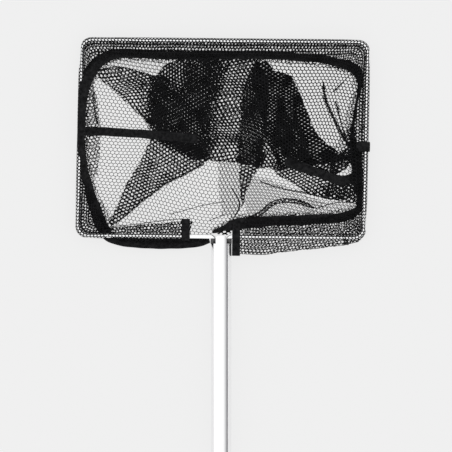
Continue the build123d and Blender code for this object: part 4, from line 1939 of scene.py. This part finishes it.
@dataclass
class Ribbon:
    """A length of tape with soft rolled edges and two rows of stitches, in millimetres."""

    core: np.ndarray  # the middle of the tape at even steps
    side: np.ndarray  # the direction across the tape at each step
    widths: np.ndarray
    thickness: float = 1.15
    ring: int = 14
    edge_roll: float = 0.55
    face_roll: float = 0.8
    stitch_pitch: float = 3.2
    stitch_length: float = 2.1
    stitch_inset: float = 1.7
    stitch_arch: tuple = (0.36, 0.62, 0.62, 0.36)  # heights of a stitch, in tape thicknesses
    thread_radius: float = 0.2

    def __post_init__(self) -> None:
        """Work out the tape's directions at each step."""
        self.side = self.side / np.linalg.norm(self.side, axis=1, keepdims=True)
        way = np.gradient(self.core, axis=0)
        way /= np.maximum(np.linalg.norm(way, axis=1, keepdims=True), 1e-9)
        up = np.cross(way, self.side)
        self.up = up / np.maximum(np.linalg.norm(up, axis=1, keepdims=True), 1e-9)

    @classmethod
    def along(cls, route: tuple, waver: int, step: float = 2.2) -> "Ribbon":
        """Lay a tape flat along a route of places, heights and widths.

        Args:
            route: Rows of x, height above the hoop's centre, height above ground and width.
            waver: Which pattern of small unevenness it has.
            step: The distance between steps.

        Returns:
            The tape.
        """
        rows = even_steps(rounded(np.array(route, float), 3, False), step, 3)
        core = rows[:, :3]
        side = np.column_stack([across_line(core[:, :2]), np.zeros(len(core))])
        uneven = ripple(core[:, :2], waver, 1.0, 30.0)
        core = core + side * 0.35 * uneven[:, :1] + np.array([0, 0, 0.25]) * uneven[:, 1:]
        side = side + np.array([0.0, 0.0, 0.10]) * uneven[:, :1]
        return cls(core, side, rows[:, 3])

    def length(self) -> float:
        """Length along the middle, in millimetres."""
        return float(line_length(self.core)[-1])

    def mesh(self, name: str, material: bpy.types.Material) -> bpy.types.Object:
        """Make the tape's mesh, with a map of millimetres along and across for its weave.

        Args:
            name: The piece's name.
            material: The tape's material.

        Returns:
            The piece.
        """
        turns = np.arange(self.ring) * math.tau / self.ring
        across = np.sign(np.cos(turns)) * np.abs(np.cos(turns)) ** self.edge_roll
        rise = np.sign(np.sin(turns)) * np.abs(np.sin(turns)) ** self.face_roll
        half = self.widths[:, None, None] / 2
        points = (
            self.core[:, None]
            + self.side[:, None] * across[None, :, None] * half
            + self.up[:, None] * rise[None, :, None] * self.thickness / 2
        ).reshape(-1, 3)
        count = len(self.core)
        start = (np.arange(count - 1) * self.ring)[:, None]
        here = start + np.arange(self.ring)
        beside = start + (np.arange(self.ring) + 1) % self.ring
        skin = np.stack([here, beside, beside + self.ring, here + self.ring], axis=2)
        last = (count - 1) * self.ring
        faces = skin.reshape(-1, 4).tolist()
        faces.append(list(range(self.ring))[::-1])
        faces.append([last + k for k in range(self.ring)])
        piece = new_object(name, points, faces, material)
        along = np.repeat(line_length(self.core), self.ring)
        width = (across[None] * self.widths[:, None] / 2).reshape(-1)
        set_map(piece, "Weave", np.column_stack([along, width]))
        return piece

    def stitches(self) -> tuple[list[np.ndarray], list[np.ndarray]]:
        """Make the stitches that show on the tape's upper face, near both edges.

        Returns:
            The points and faces of each stitch.
        """
        along = line_length(self.core)
        points: list[np.ndarray] = []
        faces: list[np.ndarray] = []
        starts = np.arange(self.stitch_pitch, along[-1] - self.stitch_pitch, self.stitch_pitch)
        for start in starts:
            spots = start + np.linspace(0.0, self.stitch_length, 4)
            base, side, up = (
                np.column_stack([np.interp(spots, along, column) for column in rows.T])
                for rows in (self.core, self.side, self.up)
            )
            width = np.interp(spots, along, self.widths)
            if width.min() < 3 * self.stitch_inset:
                continue
            arch = np.array(self.stitch_arch)[:, None] * self.thickness
            for edge in (1.0, -1.0):
                reach = edge * (width / 2 - self.stitch_inset)[:, None]
                tube, skin = strand_tube(base + side * reach + up * arch, self.thread_radius)
                points.append(tube)
                faces.append(skin)
        return points, faces


@dataclass(frozen=True)
class WrapShape:
    """Cross-section of a tape wrapped round the rod, in millimetres from the rod's axis."""

    width: float
    inner: float
    outer: float
    inner_drop: float
    outer_drop: float
    skin: float = 4.9
    slack: float = 0.75
    step: float = 1.2

    def loop(self) -> tuple[np.ndarray, np.ndarray]:
        """Follow the loop from its inner end, over the rod and back.

        Returns:
            The places across and the heights.
        """
        travel = (1 - np.cos(np.linspace(0, math.pi, 40))) / 2
        q = self.inner - (self.inner + self.outer) * travel
        bulge = np.sqrt(np.clip(self.skin**2 - q**2, 0.0, None))
        inner = np.clip(q / self.inner, 0.0, 1.0)
        outer = np.clip(-q / self.outer, 0.0, 1.0)
        sides = []
        for sign in (1.0, -1.0):
            slack = self.slack * sign
            fall_in = sign * self.skin * (1 - inner) + (self.inner_drop + slack) * inner
            fall_out = sign * self.skin * (1 - outer) + (self.outer_drop + slack) * outer
            sheet = np.where(q > 0, fall_in, fall_out)
            sides.append(np.maximum(sheet, bulge) if sign > 0 else np.minimum(sheet, -bulge))
        across = np.concatenate([q, q[::-1]])
        height = np.concatenate([sides[0], sides[1][::-1]])
        line = even_steps(np.column_stack([across, height]), self.step)
        return line[:, 0], line[:, 1]


@dataclass(frozen=True)
class LaidTape:
    """A tape that lies along a route, and the frame's piece that it stands for."""

    name: str
    node: str
    route: tuple
    held: str
    width: float
    waver: int  # which pattern of small unevenness it has


@dataclass(frozen=True)
class WrappedTape:
    """A short tape wrapped round the rod, and the frame's piece that it stands for."""

    name: str
    node: str
    middle: float  # its place along the bar
    shape: WrapShape
    side_bar: bool = False


LAID_TAPES = (
    LaidTape("mouth_tape", "mouth_binding", MOUTH_ROUTE, "stretched", 11.5, 41),
    LaidTape("left_seam_tape", "left_seam_binding", LEFT_SEAM_ROUTE, "laid", 12.3, 42),
    LaidTape("right_seam_tape", "right_seam_binding", RIGHT_SEAM_ROUTE, "laid", 13.0, 43),
)
SIDE_LOOP = WrapShape(width=13.5, inner=13.0, outer=5.6, inner_drop=-3.0, outer_drop=1.0)
LEFT_END = WrapShape(width=11.5, inner=24.0, outer=5.2, inner_drop=-2.5, outer_drop=0.0)
RIGHT_END = WrapShape(width=11.0, inner=20.0, outer=25.5, inner_drop=-2.0, outer_drop=-12.0)
WRAPPED_TAPES = (
    WrappedTape("side_loop_tape", "side_loop", -9.0, SIDE_LOOP, side_bar=True),
    WrappedTape("left_end_tape", "left_end_binding", -48.5, LEFT_END),
    WrappedTape("right_end_tape", "right_end_binding", 20.5, RIGHT_END),
)


@dataclass
class Bindings:
    """All the tapes sewn to the bag and its hem, with their stitching."""

    tape: bpy.types.Material
    thread: bpy.types.Material
    route: HoopRoute = field(default_factory=HoopRoute)
    points: list[np.ndarray] = field(default_factory=list)
    faces: list[np.ndarray] = field(default_factory=list)

    def sew(self, name: str, ribbon: Ribbon, node: str, held: str, width: float) -> None:
        """Make one tape and keep its stitches.

        Args:
            name: The tape's name.
            ribbon: Its shape.
            node: The frame's piece that it stands for.
            held: How the cloth is held; not used.
            width: Its usual width; not used.
        """
        piece = ribbon.mesh(name, self.tape)
        ribbon.length() * MM
        put(piece, node)
        points, faces = ribbon.stitches()
        self.points += points
        self.faces += faces
        log.info("%s: %.0f mm of tape", name, ribbon.length())

    def wrapped(self, tape: WrappedTape) -> Ribbon:
        """Wrap a short tape round the rod and its sleeve.

        Args:
            tape: The tape.

        Returns:
            Its shape.
        """
        if tape.side_bar:
            half = self.route.width / 2
            place, beside = (self.route.point(half, tape.middle + more) for more in (0, 1))
        else:
            place, beside = (self.route.bar_end(tape.middle + more) for more in (0, 1))
        bar = beside - place
        bar /= np.linalg.norm(bar)
        inward = np.array([-bar[1], bar[0]])
        q, z = tape.shape.loop()
        core = np.column_stack([place + q[:, None] * inward, ROD_Z + z])
        side = np.tile([*bar, 0.0], (len(core), 1))
        return Ribbon(core, side, np.full(len(core), tape.shape.width))

    def build(self) -> None:
        """Make every tape, then the stitching of them all."""
        for tape in LAID_TAPES:
            ribbon = Ribbon.along(tape.route, waver=tape.waver)
            self.sew(tape.name, ribbon, tape.node, tape.held, tape.width)
        for tape in WRAPPED_TAPES:
            self.sew(tape.name, self.wrapped(tape), tape.node, "folded", tape.shape.width)
        piece = new_object("tape_stitching", *join_parts(self.points, self.faces), self.thread)
        put(piece, "mouth_binding")
        log.info("tape_stitching: %d stitches", len(self.points))


# ---- Hard parts ---------------------------------------------------------------------------


HARD_FINISHES = {
    "hoop_rod": Finish.HOOP,
    "outer_tube": Finish.POLE,
    "inner_tube": Finish.POLE,
    "head_rivets": Finish.RIVET,
    "lock_pins": Finish.PIN,
    "head_plug": Finish.PLUG,
    "clamp_ring": Finish.PLUG,
    "glide_ring": Finish.PLUG,
    "lock_body": Finish.LOCK,
    "end_cap": Finish.LOCK,
    "lock_collar": Finish.COLLAR,
    "hand_grip": Finish.GRIP,
}


@dataclass(frozen=True)
class HardParts:
    """Better finishes for the frame's own hard parts, and dark sleeves round the rod's ends, in
    millimetres: painted shade where the pole's notches lie in shade.
    """

    # Sizes of the dark sleeves round the rod's ends: painted shade in the pole's notches.
    shade_sleeve_apart: float = 10.2
    shade_sleeve_radius: float = 4.2
    shade_sleeve_top: float = -136.0
    shade_sleeve_end: float = -143.4
    rod_radius: float = 3.15
    sides: int = 32

    def sockets(self, material: bpy.types.Material) -> None:
        """Make dark sleeves that the rod's two ends go down through, in the pole's notches: painted
        shade, a dark part put where the notches only lie in shade.

        Args:
            material: Their finish.
        """
        hole, rim, top, end = self.rod_radius, self.shade_sleeve_radius, self.shade_sleeve_top, self.shade_sleeve_end
        rounded_rim = [(rim, top - 0.9), (rim - 0.25, top - 0.3), (rim - 0.7, top)]
        profile = np.array([(hole, end), (rim, end), *rounded_rim, (hole, top)])
        turns = np.arange(self.sides) * math.tau / self.sides
        rows, count = len(turns), len(profile)
        radius, level = (np.tile(column, rows) for column in profile.T)
        turn = np.repeat(turns, count)
        here = np.arange(rows * count)
        row, place = np.divmod(here, count)
        beside, after = (place + 1) % count, ((row + 1) % rows) * count
        skin = np.column_stack([here, row * count + beside, after + beside, after + place])
        points, faces = [], []
        for side in (-1.0, 1.0):
            across = side * self.shade_sleeve_apart + radius * np.cos(turn)
            points.append(np.column_stack([across, level, ROD_Z + radius * np.sin(turn)]))
            faces.append(skin)
        piece = new_object("rod_end_shade_sleeves", *join_parts(points, faces), material)
        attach(piece, BODY)
        log.info("rod_end_shade_sleeves: %d faces", len(faces) * len(skin))

    def dress(self, effects: SharedEffects) -> None:
        """Give each hard part its finish.

        Args:
            effects: The node groups that the finishes share.
        """
        made: dict[Finish, bpy.types.Material] = {}
        for node, finish in HARD_FINISHES.items():
            if finish not in made:
                made[finish] = finish.value.make(effects)
            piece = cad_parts[node]
            for slot in piece.material_slots:
                slot.material = made[finish]
            log.info("%s: %s", node, made[finish].name)
        # Painted shade: dark sleeves in the pole's notches, in the plug's dark nylon.
        self.sockets(made[Finish.PLUG])


# ---- Studio -------------------------------------------------------------------------------


@dataclass(frozen=True)
class Studio:
    """Pale floor, even light and the camera straight above; sizes in metres."""

    floor_size: float = 8.0
    floor_shade: float = 0.871
    glow: float = 0.88  # the share of the floor's shade that glows
    flag: tuple = (0.14, 0.14, 0.15, 1.0)
    gloss_gain: float = 0.12
    camera_height: float = 3.2
    view_width: float = 0.6174
    view_x: float = 0.0066
    view_below_centre: float = 0.119
    sensor: float = 36.0

    def floor(self) -> None:
        """Make the floor, part lit and part glowing so that shadows stay faint."""
        half = self.floor_size / 2
        mesh = bpy.data.meshes.new("floor")
        corners = [(-half, -half, 0.0), (half, -half, 0.0), (half, half, 0.0), (-half, half, 0.0)]
        mesh.from_pydata(corners, [], [(0, 1, 2, 3)])
        plane = bpy.data.objects.new("floor", mesh)
        bpy.context.scene.collection.objects.link(plane)
        material, graph, shader = new_material("floor_paper")
        shade = self.floor_shade * (1 - self.glow)
        graph.set(
            shader,
            Base_Color=(shade, shade, shade, 1.0),
            Roughness=1.0,
            Specular_IOR_Level=0.0,
            Emission_Color=WHITE,
            Emission_Strength=self.floor_shade * self.glow,
        )
        mesh.materials.append(material)

    def light(self) -> None:
        """Light everything from a white surround with one dark flag that only gloss sees."""
        world = bpy.data.worlds.new("surround")
        world.use_nodes = True
        graph = Graph(world.node_tree)
        back = world.node_tree.nodes["Background"]
        way = graph.add("ShaderNodeTexCoord")
        apart = graph.add("ShaderNodeSeparateXYZ", Vector=way.outputs["Generated"])
        above = graph.add(
            "ShaderNodeMapRange", {"interpolation_type": "SMOOTHSTEP"}, Value=apart.outputs["Z"],
            From_Min=0.05, From_Max=0.2,
        )
        below = graph.add(
            "ShaderNodeMapRange", Value=apart.outputs["Z"], From_Min=0.95, From_Max=0.3
        )
        right = graph.add(
            "ShaderNodeMapRange", {"interpolation_type": "SMOOTHSTEP"}, Value=apart.outputs["X"],
            From_Min=0.25, From_Max=0.6,
        )
        flag = graph.math("MULTIPLY", above.outputs["Result"], below.outputs["Result"])
        flag = graph.math("MULTIPLY", flag, right.outputs["Result"])
        path = graph.add("ShaderNodeLightPath")
        flag = graph.math("MULTIPLY", flag, path.outputs["Is Glossy Ray"])
        colour = graph.ramp(flag, WHITE, self.flag)
        graph.feed(back.inputs["Color"], colour)
        strength = graph.math("MULTIPLY_ADD", path.outputs["Is Glossy Ray"], self.gloss_gain)
        graph.feed(strength.node.inputs[2], 1.0)
        graph.feed(back.inputs["Strength"], strength)
        bpy.context.scene.world = world
        bpy.context.scene.view_settings.view_transform = "Standard"

    def camera(self) -> None:
        """Look straight down on the net and the top of the pole."""
        data = bpy.data.cameras.new("camera")
        data.sensor_width = self.sensor
        data.lens = self.sensor * (self.camera_height - PLACE.z) / self.view_width
        data.clip_end = 20.0
        camera = bpy.data.objects.new("camera", data)
        camera.location = (self.view_x, PLACE.y - self.view_below_centre, self.camera_height)
        bpy.context.scene.collection.objects.link(camera)
        bpy.context.scene.camera = camera

    def build(self) -> None:
        """Set up the studio."""
        self.floor()
        self.light()
        self.camera()


def main() -> None:
    """Build the net's looks in order."""
    logging.basicConfig(level=logging.INFO, format="%(name)s: %(message)s")
    effects = SharedEffects()
    Studio().build()
    HardParts().dress(effects)
    yarn = Finish.NETTING.value.make(effects)
    NettingBag(yarn).build()
    NettingSleeve(yarn).build()
    Bindings(Finish.TAPE.value.make(effects), Finish.THREAD.value.make(effects)).build()


if __name__ == "__main__":
    main()
